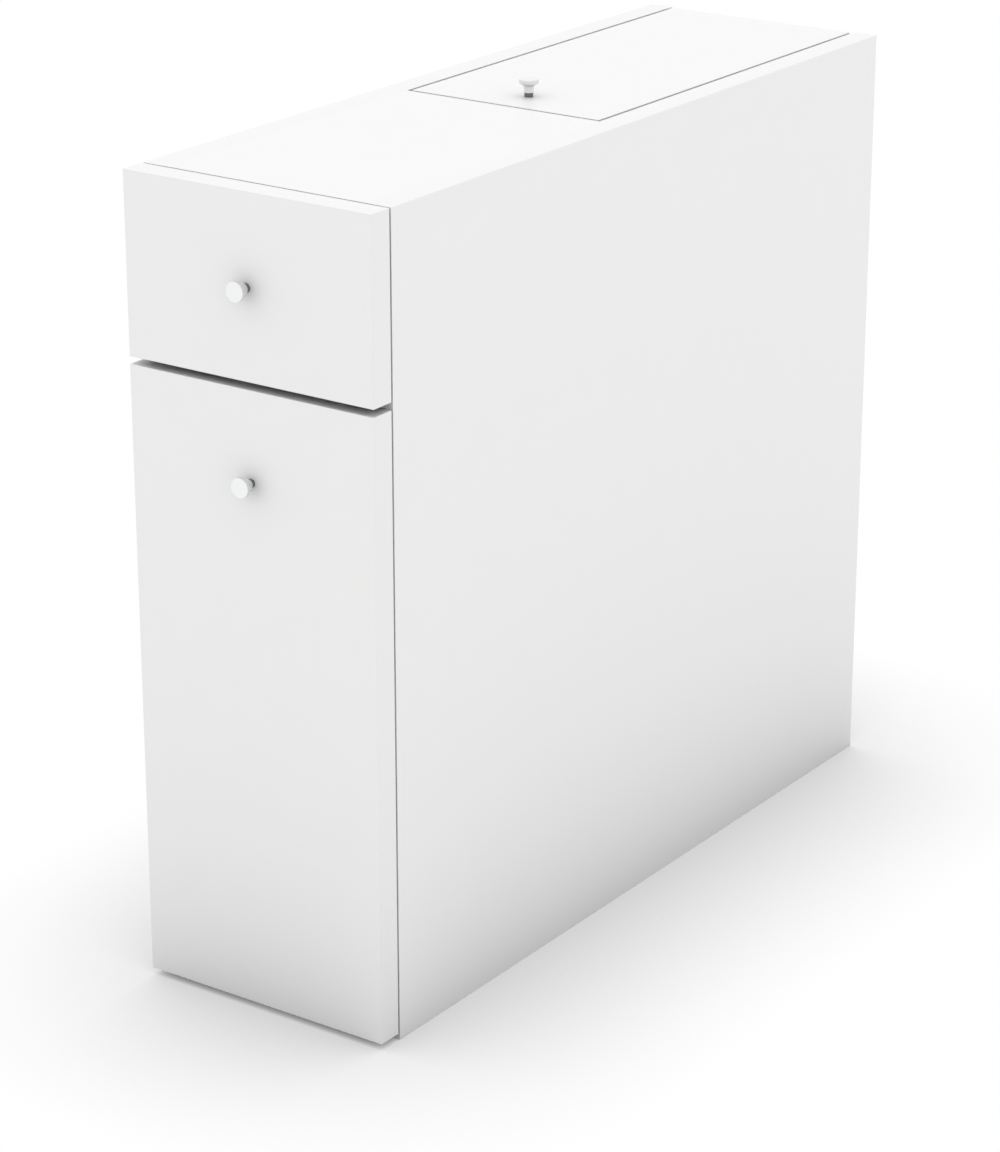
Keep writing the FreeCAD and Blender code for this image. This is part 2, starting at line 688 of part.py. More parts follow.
def build_box(name, top, dowel_heights):
    """Sides, back and bottom of a box behind a front, with the dowels and screws that join them."""
    low = RUNNERS[name].box_low
    bottom_low = f"({low} + bottom_lift)"
    bottom_top = f"({bottom_low} + box_bottom)"
    back_front = f"({BOX_REAR} - box_board)"
    back_middle = f"({BOX_REAR} - box_board / 2)"
    screw_heights = [f"{bottom_top} + box_joint_inset", f"{top} - box_joint_inset"]
    screws = [(back_middle, height) for height in screw_heights]
    dowels = [(BOX_MIDDLE, height) for height in dowel_heights]

    side = new_body(f"{name}_side_right")
    add_outline(side, "YZ", BOX_INNER, rectangle(("board", low), (BOX_REAR, top)), "box_board")
    groove_high = (BOX_REAR, f"{bottom_top} + groove_play")
    cut_groove(side, "YZ", BOX_INNER, ("board", bottom_low), groove_high, "bottom_groove", forwards=True)
    dowel_depth = "box_dowel_side_seat + bore_spare"
    drill(side, "XZ", "board", dowels, fitted("box_dowel_diameter"), dowel_depth, forwards=True)
    drill(side, "YZ", BOX_OUTER, screws, fitted("box_screw_diameter"), "box_board", forwards=False)
    head_bore = fitted("box_screw_head_diameter")
    drill(side, "YZ", BOX_OUTER, screws, head_bore, "box_screw_head_height", forwards=False)
    rail_bore = fitted("runner_screw_diameter")
    rail_depth = "rail_screw_length - runner_steel + bore_spare"
    drill(side, "YZ", BOX_OUTER, RUNNERS[name].rail_screws, rail_bore, rail_depth, forwards=False)
    keep_mirrored(side, f"{name}_side")

    back = new_body(f"{name}_back")
    outline = rectangle((f"-{BOX_INNER}", bottom_top), (BOX_INNER, top))
    add_outline(back, "XZ", back_front, outline, "box_board")
    screw_depth = "box_screw_length - box_board + bore_spare"
    drill_ends(back, BOX_INNER, screws, fitted("box_screw_diameter"), screw_depth)
    keep(back)

    bottom = new_body(f"{name}_bottom")
    half = f"({BOX_INNER} + bottom_groove - groove_play)"
    outline = rectangle((f"-{half}", "board - bottom_groove + groove_play"), (half, BOX_REAR))
    add_outline(bottom, "XY", bottom_low, outline, "box_bottom")
    keep(bottom)

    pegs = new_body(f"{name}_front_dowels_right")
    peg_length = "box_dowel_front_seat + box_dowel_side_seat"
    add_rods(pegs, "XZ", "board - box_dowel_front_seat", dowels, "box_dowel_diameter", peg_length)
    keep_both_sides(pegs, f"{name}_front_dowels")

    fixings = new_body(f"{name}_back_screws_right")
    tip = f"{BOX_OUTER} - box_screw_length"
    add_rods(fixings, "YZ", tip, screws, "box_screw_diameter", "box_screw_length")
    head_low = f"{BOX_OUTER} - box_screw_head_height"
    add_rods(fixings, "YZ", head_low, screws, "box_screw_head_diameter", "box_screw_head_height")
    keep_both_sides(fixings, f"{name}_back_screws")


def build_knob(name, place, turn):
    """A turned knob on a dark collar, held by a screw through the board; +Z points out of it."""
    screw_radius = "knob_screw_diameter / 2"
    bore_radius = f"({screw_radius} + fit_play)"
    neck_low = "(knob_collar_height + knob_ring_height)"
    head_low = "(knob_projection - knob_rim_height)"
    screw_tip = "(knob_collar_height + knob_screw_bite)"
    bore_top = f"({screw_tip} + bore_spare)"

    collar = new_body(f"{name}_knob_collar", place, turn)
    outline = rectangle((bore_radius, "0"), ("knob_collar_diameter / 2", "knob_collar_height"))
    turn_profile(collar, outline)
    keep(collar)

    knob = new_body(f"{name}_knob", place, turn)
    profile = [
        (bore_radius, "knob_collar_height"),
        ("knob_ring_diameter / 2", "knob_collar_height"),
        ("knob_ring_diameter / 2", neck_low),
        ("knob_neck_diameter / 2", neck_low),
        ("knob_neck_top_diameter / 2", f"{head_low} - knob_cone_height"),
        ("knob_head_diameter / 2", head_low),
        ("knob_head_diameter / 2", "knob_projection"),
        ("0", "knob_projection"),
        ("0", bore_top),
        (bore_radius, bore_top),
    ]
    turned = turn_profile(knob, profile)
    face_height = turned.Shape.BoundBox.ZMax
    rim = [
        f"Edge{number}"
        for number, edge in enumerate(turned.Shape.Edges, start=1)
        if edge.BoundBox.ZMin > face_height - TOLERANCE
    ]
    rounding = knob.newObject("PartDesign::Fillet", f"{name}_knob_rim")
    rounding.Base = (turned, rim)
    rounding.setExpression("Radius", formula("knob_rim_radius"))
    doc.recompute()
    keep(knob)

    screw = new_body(f"{name}_knob_screw", place, turn)
    profile = [
        ("0", "-board - knob_screw_head_height"),
        ("knob_screw_head_diameter / 2", "-board - knob_screw_head_height"),
        ("knob_screw_head_diameter / 2", "-board"),
        (screw_radius, "-board"),
        (screw_radius, screw_tip),
        ("0", screw_tip),
    ]
    turn_profile(screw, profile)
    keep(screw)


def build_drawer_like(name, front_low, front_top, box_top, dowel_heights):
    """A front with its knob, its box, its rails and the rollers on both halves of the runners."""
    runner = RUNNERS[name]
    knob_height = f"({front_top} - knob_drop)"
    build_tracks(name)
    track_roller = f"({TRACK_WEB} - roller_side_play - roller_width)"
    build_rollers(f"{name}_track_rollers", track_roller, (TRACK_ROLLER_Y, runner.axis))
    build_front(name, front_low, front_top, knob_height, dowel_heights)
    build_box(name, box_top, dowel_heights)
    build_rails(name)
    rail_roller = f"({RAIL_WEB} + roller_side_play)"
    build_rollers(f"{name}_rail_rollers", rail_roller, (RAIL_ROLLER_Y, runner.axis))
    face_outwards = FreeCAD.Rotation(FreeCAD.Vector(1, 0, 0), 90)
    build_knob(name, ("0", FRAME_Y, knob_height), face_outwards)


def build_lid():
    """Lid between the side panels, with bushes that turn on pins in the side panels."""
    pivot = [(PIVOT_Y, PIVOT_Z)]
    lid = new_body("lid_panel")
    outline = rectangle((f"-{LID_EDGE}", LID_FRONT), (LID_EDGE, LID_REAR))
    round_all_edges(lid, add_outline(lid, "XY", TOP_UNDERSIDE, outline, "board"))
    drill_ends(lid, LID_EDGE, pivot, fitted("pivot_bush_diameter"), "pivot_bush_length + bore_spare")
    knob_bore = fitted("knob_screw_diameter")
    drill(lid, "XY", TOP_UNDERSIDE, [("0", LID_KNOB_Y)], knob_bore, "board", forwards=True)
    keep(lid)

    bushes = new_body("lid_pivot_bushes_right")
    start = f"({LID_EDGE} - pivot_bush_length)"
    add_rods(bushes, "YZ", start, pivot, "pivot_bush_diameter", "pivot_bush_length")
    bore = "pivot_pin_diameter + 2 * pivot_clearance"
    drill(bushes, "YZ", start, pivot, bore, "pivot_bush_length", forwards=True)
    keep_both_sides(bushes, "lid_pivot_bushes")

    pins = new_body("lid_pivot_pins_right")
    pin_start = f"{LID_EDGE} - pivot_pin_reach"
    pin_length = "pivot_pin_reach + lid_gap + pivot_pin_seat"
    add_rods(pins, "YZ", pin_start, pivot, "pivot_pin_diameter", pin_length)
    keep_both_sides(pins, "lid_pivot_pins")

    build_knob("lid", ("0", f"{FRAME_Y} + {LID_KNOB_Y}", "cabinet_height"), FreeCAD.Rotation())


def check_model():
    """Stop if any object failed or any sub-part is not one or more valid solids."""
    doc.recompute()
    for item in doc.Objects:
        if "Invalid" in item.State or "Error" in item.State:
            raise RuntimeError(f"{item.Label} failed: {item.State}")
    for node in nodes:
        if node.Shape.isNull() or not node.Shape.isValid() or not node.Shape.Solids:
            raise RuntimeError(f"{node.Label} has no valid solid")


def write_parts():
    """Write each sub-part to its own file."""
    os.makedirs("parts", exist_ok=True)
    for node in nodes:
        node.Shape.exportStep(f"parts/{node.Label}.step")
    print(f"{len(nodes)} sub-parts, {sum(len(node.Shape.Solids) for node in nodes)} solids")


build_side_panels()
build_carcass_panels()
build_carcass_fittings()
drawer_dowels = [f"{DRAWER_LOW} + box_joint_inset", f"{DRAWER_TOP} - box_joint_inset"]
pullout_dowels = [
    f"{PULLOUT_LOW} + box_joint_inset",
    f"({PULLOUT_LOW} + {PULLOUT_TOP}) / 2",
    f"{PULLOUT_TOP} - box_joint_inset",
]
build_drawer_like("drawer", DRAWER_FRONT_LOW, "cabinet_height", DRAWER_TOP, drawer_dowels)
build_drawer_like("pullout", "floor_clearance", PULLOUT_FRONT_TOP, PULLOUT_TOP, pullout_dowels)
build_track_screws()
build_track_axles()
build_lid()
check_model()
write_parts()
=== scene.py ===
"""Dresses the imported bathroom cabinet: its boards, knobs, runners, fittings and finishes, on a pale stage."""

import json
import math
from collections import namedtuple

import bmesh
import bpy
from bpy.props import FloatProperty, FloatVectorProperty, IntProperty, PointerProperty
from bpy.types import Operator, Panel, PropertyGroup
from mathutils import Matrix, Vector


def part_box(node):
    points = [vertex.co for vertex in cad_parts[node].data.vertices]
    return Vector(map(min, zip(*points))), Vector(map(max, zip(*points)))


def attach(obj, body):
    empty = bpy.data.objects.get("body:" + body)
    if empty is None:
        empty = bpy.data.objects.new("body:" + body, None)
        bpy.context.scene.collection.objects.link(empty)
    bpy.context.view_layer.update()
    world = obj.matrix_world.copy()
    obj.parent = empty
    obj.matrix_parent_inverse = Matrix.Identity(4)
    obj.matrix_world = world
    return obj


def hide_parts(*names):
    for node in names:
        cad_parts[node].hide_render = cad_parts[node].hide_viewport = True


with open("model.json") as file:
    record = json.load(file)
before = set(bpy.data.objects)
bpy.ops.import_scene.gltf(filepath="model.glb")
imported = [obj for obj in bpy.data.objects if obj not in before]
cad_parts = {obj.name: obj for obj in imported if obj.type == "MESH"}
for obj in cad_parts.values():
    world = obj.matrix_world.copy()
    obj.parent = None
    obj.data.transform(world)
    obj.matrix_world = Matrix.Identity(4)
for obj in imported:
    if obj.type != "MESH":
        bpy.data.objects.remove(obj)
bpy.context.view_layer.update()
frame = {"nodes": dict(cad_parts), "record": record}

bl_info = {
    "name": "Bathroom cabinet",
    "version": (1, 0, 0),
    "blender": (4, 5, 0),
    "location": "3D View > Sidebar > Cabinet",
    "description": "Models and finishes the visible pieces of a slim cabinet round its packed frame",
    "category": "Object",
}

RECORD = frame["record"]
BODY_OF = {node: body for body, nodes in RECORD["behaviour"]["bodies"].items() for node in nodes}

X, Y, Z = range(3)
MILLIMETRE = 0.001
MERGE_DISTANCE = 0.001 * MILLIMETRE
ON_PLANE = 0.01 * MILLIMETRE
FLAT_ANGLE = math.radians(0.2)
SHARP_ANGLE = math.radians(30)

# A face looks along an axis, or an edge runs along it, where their cosine is above these.
FACE_ON = 0.7
RUNS_ALONG = 0.99

# Steps across a rounding: of a knob's rim, of a board's edge and of a small edge.
RIM_STEPS = 8
EDGE_STEPS = 3
SMALL_STEPS = 2

BOXES = ("drawer", "pullout")
HANDS = ("left", "right")
HALVES = ("track", "rail")

# Broad faces of each board look along this axis; its other faces are edges.
INNER_BOARDS = {"top_panel": Z, "drawer_shelf": Z, "base_panel": Z, "partition": Y, "rear_rail": Y}
SIDE_PANELS = {"side_panel_left": "side_board_left", "side_panel_right": "side_board_right"}
MOVING_BOARDS = {
    "drawer_front": ("drawer_front_board", Y, "edge_radius"),
    "pullout_front": ("pullout_front_board", Y, "edge_radius"),
    "lid_panel": ("lid_board", Z, "lid_edge_radius"),
}
BOX_BOARDS = [f"{box}_{part}" for box in BOXES for part in ("side_left", "side_right", "back")]
RUNNERS = [f"{box}_{half}_{hand}" for box in BOXES for half in HALVES for hand in HANDS]
ROLLERS = [f"{box}_{half}_rollers" for box in BOXES for half in HALVES]
KNOBS = ("drawer", "pullout", "lid")
SCREWS = (
    "track_screws",
    "drawer_rail_screws",
    "pullout_rail_screws",
    "drawer_back_screws",
    "pullout_back_screws",
    "drawer_knob_screw",
    "pullout_knob_screw",
    "lid_knob_screw",
)
DOMED_PINS = ("track_axles", "drawer_rail_axles", "pullout_rail_axles", "back_panel_nails")
DOWELS = ("carcass_dowels", "drawer_front_dowels", "pullout_front_dowels")

# Profiles of the small fittings, as shares of a radius and of a height.
SCREW_HEAD = ((0.86, 0.16), (0.97, 0.45), (1.0, 0.75), (1.0, 1.0))
SCREW_TIP = ((1.0, 0.88), (0.2, 1.0))
DOMED_HEAD = ((0.0, 0.0), (0.35, 0.08), (0.65, 0.3), (0.88, 0.62), (1.0, 1.0))
DOMED_TIP = ((1.0, 0.95), (0.5, 1.0), (0.0, 1.0))
CAM_FACE = ((0.80, 1.0), (0.88, 1.0), (0.90, 0.0), (0.97, 0.0), (1.0, 1.0))
ROLLER_SIDE = ((0.48, 0.0), (0.51, 0.14), (0.77, 0.14), (0.80, 0.0), (0.94, 0.0), (0.985, 0.06), (1.0, 0.16))
PAD_DOME = ((0.0, 1.0), (0.35, 0.97), (0.62, 0.85), (0.83, 0.62), (0.95, 0.32), (1.0, 0.0), (0.0, 0.0))
CAM_LIP = 0.35 * MILLIMETRE

# A cross recess is the middle row and column of a square of cells, and tapers to its bed.
CROSS_CELLS = 3
CROSS_TAPER = 0.6

# Most of a noise lies between these values.
NOISE_LOW = 0.3
NOISE_HIGH = 0.7
UNSTRETCHED = (1.0, 1.0, 1.0)

# The noise that frays the slivers is this much finer than they are.
FRAY_FINENESS = 3.0
FRAY_DETAIL = 3.0

# How strongly the joints between the slivers darken.
JOINT_DARKNESS = 0.6

# How far the roughness of a finish varies to either side.
BOARD_SHEEN = 0.03
KNOB_SHEEN = 0.02

# How rough the raw boards are, and how much less so where hardboard is painted.
CHIPBOARD_ROUGHNESS = 0.9
HARDBOARD_ROUGHNESS = 0.82
PAINT_SMOOTHING = 0.36

# Share of the sky that the floor sees at the foot of a wall; its glow ends there.
WALL_FOOT_SKY = 0.5

Pin = namedtuple("Pin", "top direction head_radius head_height shank_radius length")
Disc = namedtuple("Disc", "low high axis radius")


def length(name, description, default):
    """A property that holds a length in metres."""
    return FloatProperty(
        name=name, description=description, default=default, min=0.0, precision=5, unit="LENGTH"
    )


def colour(name, description, default):
    """A property that holds a linear colour."""
    return FloatVectorProperty(
        name=name, description=description, default=default, min=0.0, max=1.0, size=3, subtype="COLOR"
    )


def share(name, description, default):
    """A property that holds a number from 0 to 1."""
    return FloatProperty(
        name=name, description=description, default=default, min=0.0, max=1.0, subtype="FACTOR"
    )


class CabinetFinishes(PropertyGroup):
    """Colours and gloss of the boards, fittings and knobs."""

    board_white: colour("Board face", "Melamine face of the boards", (0.95, 0.95, 0.948))
    edge_white: colour("Edge band", "Plastic band on the edges of the boards", (0.94, 0.94, 0.938))
    board_roughness: share("Board roughness", "Roughness of the melamine face", 0.42)
    chip_light: colour("Light chips", "Lighter chips in the side panels' raw edges", (0.60, 0.43, 0.26))
    chip_dark: colour("Dark chips", "Darker chips in the side panels' raw edges", (0.30, 0.19, 0.10))
    box_white: colour("Box boards", "Foil on the sides and backs of the boxes", (0.92, 0.92, 0.915))
    hardboard_white: colour("Hardboard paint", "Painted face of the back and bottoms", (0.90, 0.90, 0.89))
    hardboard_brown: colour("Hardboard", "Raw face of the back and the bottoms", (0.30, 0.17, 0.085))
    powder_white: colour("Runner coat", "Powder coat on the runners", (0.86, 0.86, 0.85))
    zinc_grey: colour("Zinc", "Zinc plating of the screws, cams, pins and nails", (0.66, 0.67, 0.68))
    nylon_white: colour("Nylon", "Rollers and lid bushes", (0.86, 0.85, 0.80))
    silicone_clear: colour("Silicone", "Pads behind the fronts", (0.88, 0.88, 0.87))
    beech_light: colour("Light beech", "Light grain of the dowels", (0.62, 0.43, 0.27))
    beech_dark: colour("Dark beech", "Dark grain of the dowels", (0.47, 0.29, 0.16))
    knob_face: colour("Knob faces", "Polished metal of the knobs' faces", (0.885, 0.902, 0.893))
    # The knobs' sides take a rougher and darker copy of the faces' metal; the darker tone is painted shade on
    # rim, cone and neck.
    knob_shaded_side: colour("Knob sides", "Brushed metal of the knobs' sides", (0.755, 0.765, 0.760))
    face_roughness: share("Knob face roughness", "Roughness of the polished metal", 0.16)
    side_roughness: share("Knob side roughness", "Roughness of the brushed metal", 0.32)
    collar_grey: colour("Collars", "Dark collars under the knobs", (0.25, 0.25, 0.252))


class CabinetShapes(PropertyGroup):
    """Sizes of the details that the pieces get here."""

    edge_radius: length("Edge radius", "Rounding of the side panels' and fronts' outer edges", 0.00025)
    lid_edge_radius: length("Lid edge radius", "Rounding of the lid's edges", 0.0001)
    band_thickness: length("Band thickness", "Thickness of the band round the fronts and the lid", 0.0008)
    bend_radius: length("Bend radius", "Rounding of the bends in the runners", 0.0004)
    turning_steps: IntProperty(
        name="Turning steps", description="Steps round a turned piece", default=48, min=12, max=128
    )
    knob_head: length("Knob head", "Diameter of the knob's head", 0.0132)
    knob_rim: length("Knob rim", "Height of the knob's head at its rim", 0.0026)
    knob_rim_radius: length("Knob rim radius", "Rounding of the head's front edge", 0.0005)
    knob_cone: length("Knob cone", "Height of the cone behind the head", 0.0022)
    knob_neck_top: length("Neck top", "Diameter of the neck under the cone", 0.0072)
    knob_neck: length("Neck", "Diameter of the neck at the ring", 0.0062)
    knob_ring: length("Ring", "Diameter of the ring under the neck", 0.007)
    knob_ring_height: length("Ring height", "Height of the ring under the neck", 0.0009)
    knob_softness: length("Knob edges", "Rounding of the knob's small edges", 0.00012)
    knob_bore: length("Knob bore", "Diameter of the screw's bore in a knob", 0.004)


class CabinetStage(PropertyGroup):
    """Floor, light and camera."""

    floor_size: length("Floor size", "Side of the square floor", 24.0)
    floor_tone: share("Floor tone", "How much light the floor gives to the cabinet", 0.745)
    shade_reach: length("Shade reach", "How far the cabinet's soft shadow reaches", 0.19)
    shade_depth: FloatProperty(
        name="Shade depth",
        description="How dark the soft shadow is where the cabinet stands",
        default=0.62,
        min=0.0,
    )
    foot_shade: FloatProperty(
        name="Foot shade",
        description="How fast the floor's light fades near the cabinet",
        default=1.6,
        min=0.0,
    )
    light_bounces: IntProperty(
        name="Light bounces",
        description="How often soft light passes from one surface to the next",
        default=0,
        min=0,
    )
    camera_place: FloatVectorProperty(
        name="Camera place",
        description="Where the camera stands",
        default=(1.3250, -1.9246, 1.0953),
        size=3,
        subtype="TRANSLATION",
        unit="LENGTH",
    )
    camera_turn: FloatProperty(
        name="Camera turn",
        description="How far the camera is turned to the left of straight ahead",
        default=math.radians(34.915),
        subtype="ANGLE",
    )
    camera_tilt: FloatProperty(
        name="Camera tilt",
        description="How far the camera looks down",
        default=math.radians(20.691),
        subtype="ANGLE",
    )
    camera_lens: FloatProperty(
        name="Camera lens",
        description="Focal length in millimetres",
        default=112.5,
        min=1.0,
        unit="CAMERA",
    )


class Finish:
    """One material, with short ways to add nodes to it."""

    def __init__(self, name):
        self.colours = bpy.context.scene.cabinet_finishes
        self.material = bpy.data.materials.new(name)
        self.material.use_nodes = True
        self.tree = self.material.node_tree
        self.shader = self.tree.nodes["Principled BSDF"]
        self.coordinates = self.tree.nodes.new("ShaderNodeTexCoord")

    def feed(self, socket, value):
        """Link a socket to another, or set its own value."""
        if isinstance(value, bpy.types.NodeSocket):
            self.tree.links.new(value, socket)
        elif socket.type == "RGBA":
            socket.default_value = (*value, 1.0)
        else:
            socket.default_value = value

    def node(self, kind, sockets):
        """Add a node and feed its sockets."""
        node = self.tree.nodes.new(kind)
        for name, value in sockets.items():
            self.feed(node.inputs[name], value)
        return node

    def set(self, **sockets):
        """Feed the shader's own sockets; an underscore in a name stands for a space."""
        for name, value in sockets.items():
            self.feed(self.shader.inputs[name.replace("_", " ")], value)

    def stretched(self, stretch):
        """Object coordinates, scaled along each axis."""
        place = self.coordinates.outputs["Object"]
        return self.node("ShaderNodeMapping", {"Vector": place, "Scale": stretch}).outputs["Vector"]

    def noise(self, scale, detail=2.0, stretch=UNSTRETCHED):
        """Cloudy grain with this many features to the metre."""
        sockets = {"Vector": self.stretched(stretch), "Scale": scale, "Detail": detail}
        return self.node("ShaderNodeTexNoise", sockets).outputs["Fac"]

    def chips(self, scale, stretch, fraying):
        """Pressed wood slivers with frayed outlines: their random tones and the depth of their joints."""
        place = self.stretched(stretch)
        sockets = {"Vector": place, "Scale": FRAY_FINENESS * scale, "Detail": FRAY_DETAIL}
        cloud = self.node("ShaderNodeTexNoise", sockets).outputs["Color"]
        frayed = self.tree.nodes.new("ShaderNodeVectorMath")
        frayed.operation = "MULTIPLY_ADD"
        for socket, value in zip(frayed.inputs, (cloud, (fraying, fraying, fraying), place)):
            self.feed(socket, value)
        cells = self.node("ShaderNodeTexVoronoi", {"Vector": frayed.outputs["Vector"], "Scale": scale})
        tone = self.node("ShaderNodeSeparateColor", {"Color": cells.outputs["Color"]}).outputs["Red"]
        return tone, self.ramp(cells.outputs["Distance"], low=0.45, high=0.85)

    def mix(self, factor, first, second):
        """Blend two colours."""
        node = self.tree.nodes.new("ShaderNodeMix")
        node.data_type = "RGBA"
        enabled = [socket for socket in node.inputs if socket.enabled]
        for socket, value in zip(enabled, (factor, first, second)):
            self.feed(socket, value)
        return next(socket for socket in node.outputs if socket.enabled)

    def ramp(self, value, low, high):
        """Rise from 0 to 1 while a value goes from low to high."""
        sockets = {"Value": value, "From Min": low, "From Max": high}
        return self.node("ShaderNodeMapRange", sockets).outputs["Result"]

    def graded(self, grain, low, high):
        """Spread the middle of a noise over a range of values."""
        sockets = {"Value": grain, "From Min": NOISE_LOW, "From Max": NOISE_HIGH}
        sockets |= {"To Min": low, "To Max": high}
        return self.node("ShaderNodeMapRange", sockets).outputs["Result"]

    def math(self, operation, first, second=0.0):
        """One sum of two numbers."""
        node = self.tree.nodes.new("ShaderNodeMath")
        node.operation = operation
        self.feed(node.inputs[0], first)
        self.feed(node.inputs[1], second)
        return node.outputs["Value"]

    def part(self, source, axis):
        """One part of an object coordinate: of the place, or of the way that the surface looks."""
        sockets = {"Vector": self.coordinates.outputs[source]}
        return self.node("ShaderNodeSeparateXYZ", sockets).outputs[axis]

    def facing(self, axis):
        """How far the surface looks along an axis, from -1 to 1."""
        return self.part("Normal", axis)

    def tinted(self, pattern, tone, darkest):
        """A colour that a pattern darkens, at most to this share of it."""
        return self.mix(self.graded(pattern, low=0.0, high=1.0), shaded(tone, darkest), tone)

    def coat(self, pattern, tone, darkest, smooth, rough):
        """Colour and roughness that vary with one pattern."""
        self.set(Base_Color=self.tinted(pattern, tone, darkest))
        self.set(Roughness=self.graded(pattern, smooth, rough))

    def bump(self, height, strength, distance):
        """Raise the surface by a height pattern."""
        sockets = {"Height": height, "Strength": strength, "Distance": distance}
        self.set(Normal=self.node("ShaderNodeBump", sockets).outputs["Normal"])


def shaded(tone, part):
    """A colour darker or lighter than a tone, by a share of it."""
    return tuple(min(1.0, channel * part) for channel in tone)


def chipboard(finish):
    """Raw cut of a side panel: coarse slivers between two fine skins. Gives their joints and colour."""
    dark = finish.colours.chip_dark
    light = finish.colours.chip_light
    tone, joints = finish.chips(scale=300.0, stretch=(2.6, 0.5, 0.5), fraying=0.0022)
    grain = finish.noise(scale=1500.0, detail=5.0, stretch=(2.0, 0.6, 0.6))
    coarse = finish.mix(tone, dark, light)
    coarse = finish.mix(finish.graded(grain, low=0.0, high=0.55), coarse, light)
    crevices = finish.math("MULTIPLY", joints, JOINT_DARKNESS)
    coarse = finish.mix(crevices, coarse, shaded(dark, part=0.45))
    fine = finish.mix(finish.graded(grain, low=0.3, high=1.0), shaded(light, part=0.72), light)
    panel_low, panel_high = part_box("side_panel_right")
    sideways = finish.math("ABSOLUTE", finish.part("Object", X))
    past_middle = finish.math("SUBTRACT", sideways, (panel_low.x + panel_high.x) / 2)
    from_middle = finish.math("ABSOLUTE", past_middle)
    skin = finish.ramp(from_middle, low=5.0 * MILLIMETRE, high=6.5 * MILLIMETRE)
    return joints, finish.mix(skin, coarse, fine)


def melamine(name, axis, raw_edges=False):
    """White board with a fine pressed face, banded edges and, where asked, a raw rear and foot."""
    finish = Finish(name)
    colours = finish.colours
    cloud = finish.noise(scale=45.0, detail=3.0)
    pores = finish.noise(scale=1900.0)
    face = finish.tinted(cloud, colours.board_white, darkest=0.992)
    across = finish.math("ABSOLUTE", finish.facing(axis))
    banded = finish.math("LESS_THAN", across, FACE_ON)
    tone = finish.mix(banded, face, colours.edge_white)
    middle = colours.board_roughness
    roughness = finish.graded(cloud, middle - BOARD_SHEEN, middle + BOARD_SHEEN)
    height = pores
    if raw_edges:
        rear = finish.math("GREATER_THAN", finish.facing(Y), FACE_ON)
        foot = finish.math("LESS_THAN", finish.facing(Z), -FACE_ON)
        raw = finish.math("MAXIMUM", rear, foot)
        joints, chips = chipboard(finish)
        tone = finish.mix(raw, tone, chips)
        roughness = finish.math("MAXIMUM", roughness, finish.math("MULTIPLY", raw, CHIPBOARD_ROUGHNESS))
        height = finish.math("SUBTRACT", pores, finish.math("MULTIPLY", raw, joints))
    finish.set(Base_Color=tone, Roughness=roughness)
    finish.bump(height, strength=0.12, distance=0.04 * MILLIMETRE)
    return finish.material


def edge_band():
    """Smooth plastic band round the fronts and the lid."""
    finish = Finish("edge_band")
    rolled = finish.noise(scale=600.0, detail=3.0)
    finish.coat(rolled, finish.colours.edge_white, darkest=0.99, smooth=0.34, rough=0.40)
    finish.bump(rolled, strength=0.1, distance=0.03 * MILLIMETRE)
    return finish.material


def box_foil():
    """White foil with a faint lengthwise grain, on the boxes' boards."""
    finish = Finish("box_foil")
    grain = finish.noise(scale=700.0, detail=3.0, stretch=(1.0, 0.06, 1.0))
    finish.coat(grain, finish.colours.box_white, darkest=0.985, smooth=0.46, rough=0.54)
    finish.bump(grain, strength=0.15, distance=0.05 * MILLIMETRE)
    return finish.material


def hardboard(name, axis, painted_side):
    """Thin pressed board: painted on the side that looks this way along its axis, raw brown elsewhere."""
    finish = Finish(name)
    raw = finish.colours.hardboard_brown
    fibres = finish.noise(scale=260.0, detail=6.0, stretch=(1.0, 1.0, 0.55))
    specks = finish.noise(scale=1300.0, detail=3.0)
    spread = finish.graded(fibres, low=0.0, high=1.0)
    brown = finish.mix(spread, shaded(raw, part=0.75), shaded(raw, part=1.2))
    speckled = finish.mix(finish.graded(specks, low=0.0, high=0.35), brown, shaded(raw, part=1.9))
    towards = finish.math("MULTIPLY", finish.facing(axis), painted_side)
    painted = finish.math("GREATER_THAN", towards, FACE_ON)
    paint = finish.tinted(fibres, finish.colours.hardboard_white, darkest=0.99)
    smoothing = finish.math("MULTIPLY", painted, PAINT_SMOOTHING)
    finish.set(Base_Color=finish.mix(painted, speckled, paint))
    finish.set(Roughness=finish.math("SUBTRACT", HARDBOARD_ROUGHNESS, smoothing))
    finish.bump(finish.math("ADD", fibres, specks), strength=0.2, distance=0.08 * MILLIMETRE)
    return finish.material


def beech():
    """Pale close-grained wood of the dowels."""
    finish = Finish("beech_wood")
    grain = finish.noise(scale=900.0, detail=5.0, stretch=(0.08, 0.08, 1.0))
    spread = finish.graded(grain, low=0.0, high=1.0)
    finish.set(Base_Color=finish.mix(spread, finish.colours.beech_dark, finish.colours.beech_light))
    finish.set(Roughness=finish.graded(grain, low=0.50, high=0.65))
    finish.bump(grain, strength=0.3, distance=0.1 * MILLIMETRE)
    return finish.material


def zinc():
    """Dull plated steel with a slightly uneven sheen."""
    finish = Finish("zinc_plate")
    cloud = finish.noise(scale=420.0, detail=4.0)
    scratches = finish.noise(scale=1500.0, stretch=(1.0, 0.2, 1.0))
    finish.coat(cloud, finish.colours.zinc_grey, darkest=0.86, smooth=0.28, rough=0.42)
    finish.set(Metallic=1.0)
    finish.bump(scratches, strength=0.1, distance=0.03 * MILLIMETRE)
    return finish.material


def powder_coat():
    """White powder coat with its orange-peel skin, on the runners."""
    finish = Finish("powder_coat")
    peel = finish.noise(scale=1100.0)
    finish.coat(peel, finish.colours.powder_white, darkest=0.975, smooth=0.38, rough=0.46)
    finish.bump(peel, strength=0.25, distance=0.06 * MILLIMETRE)
    return finish.material


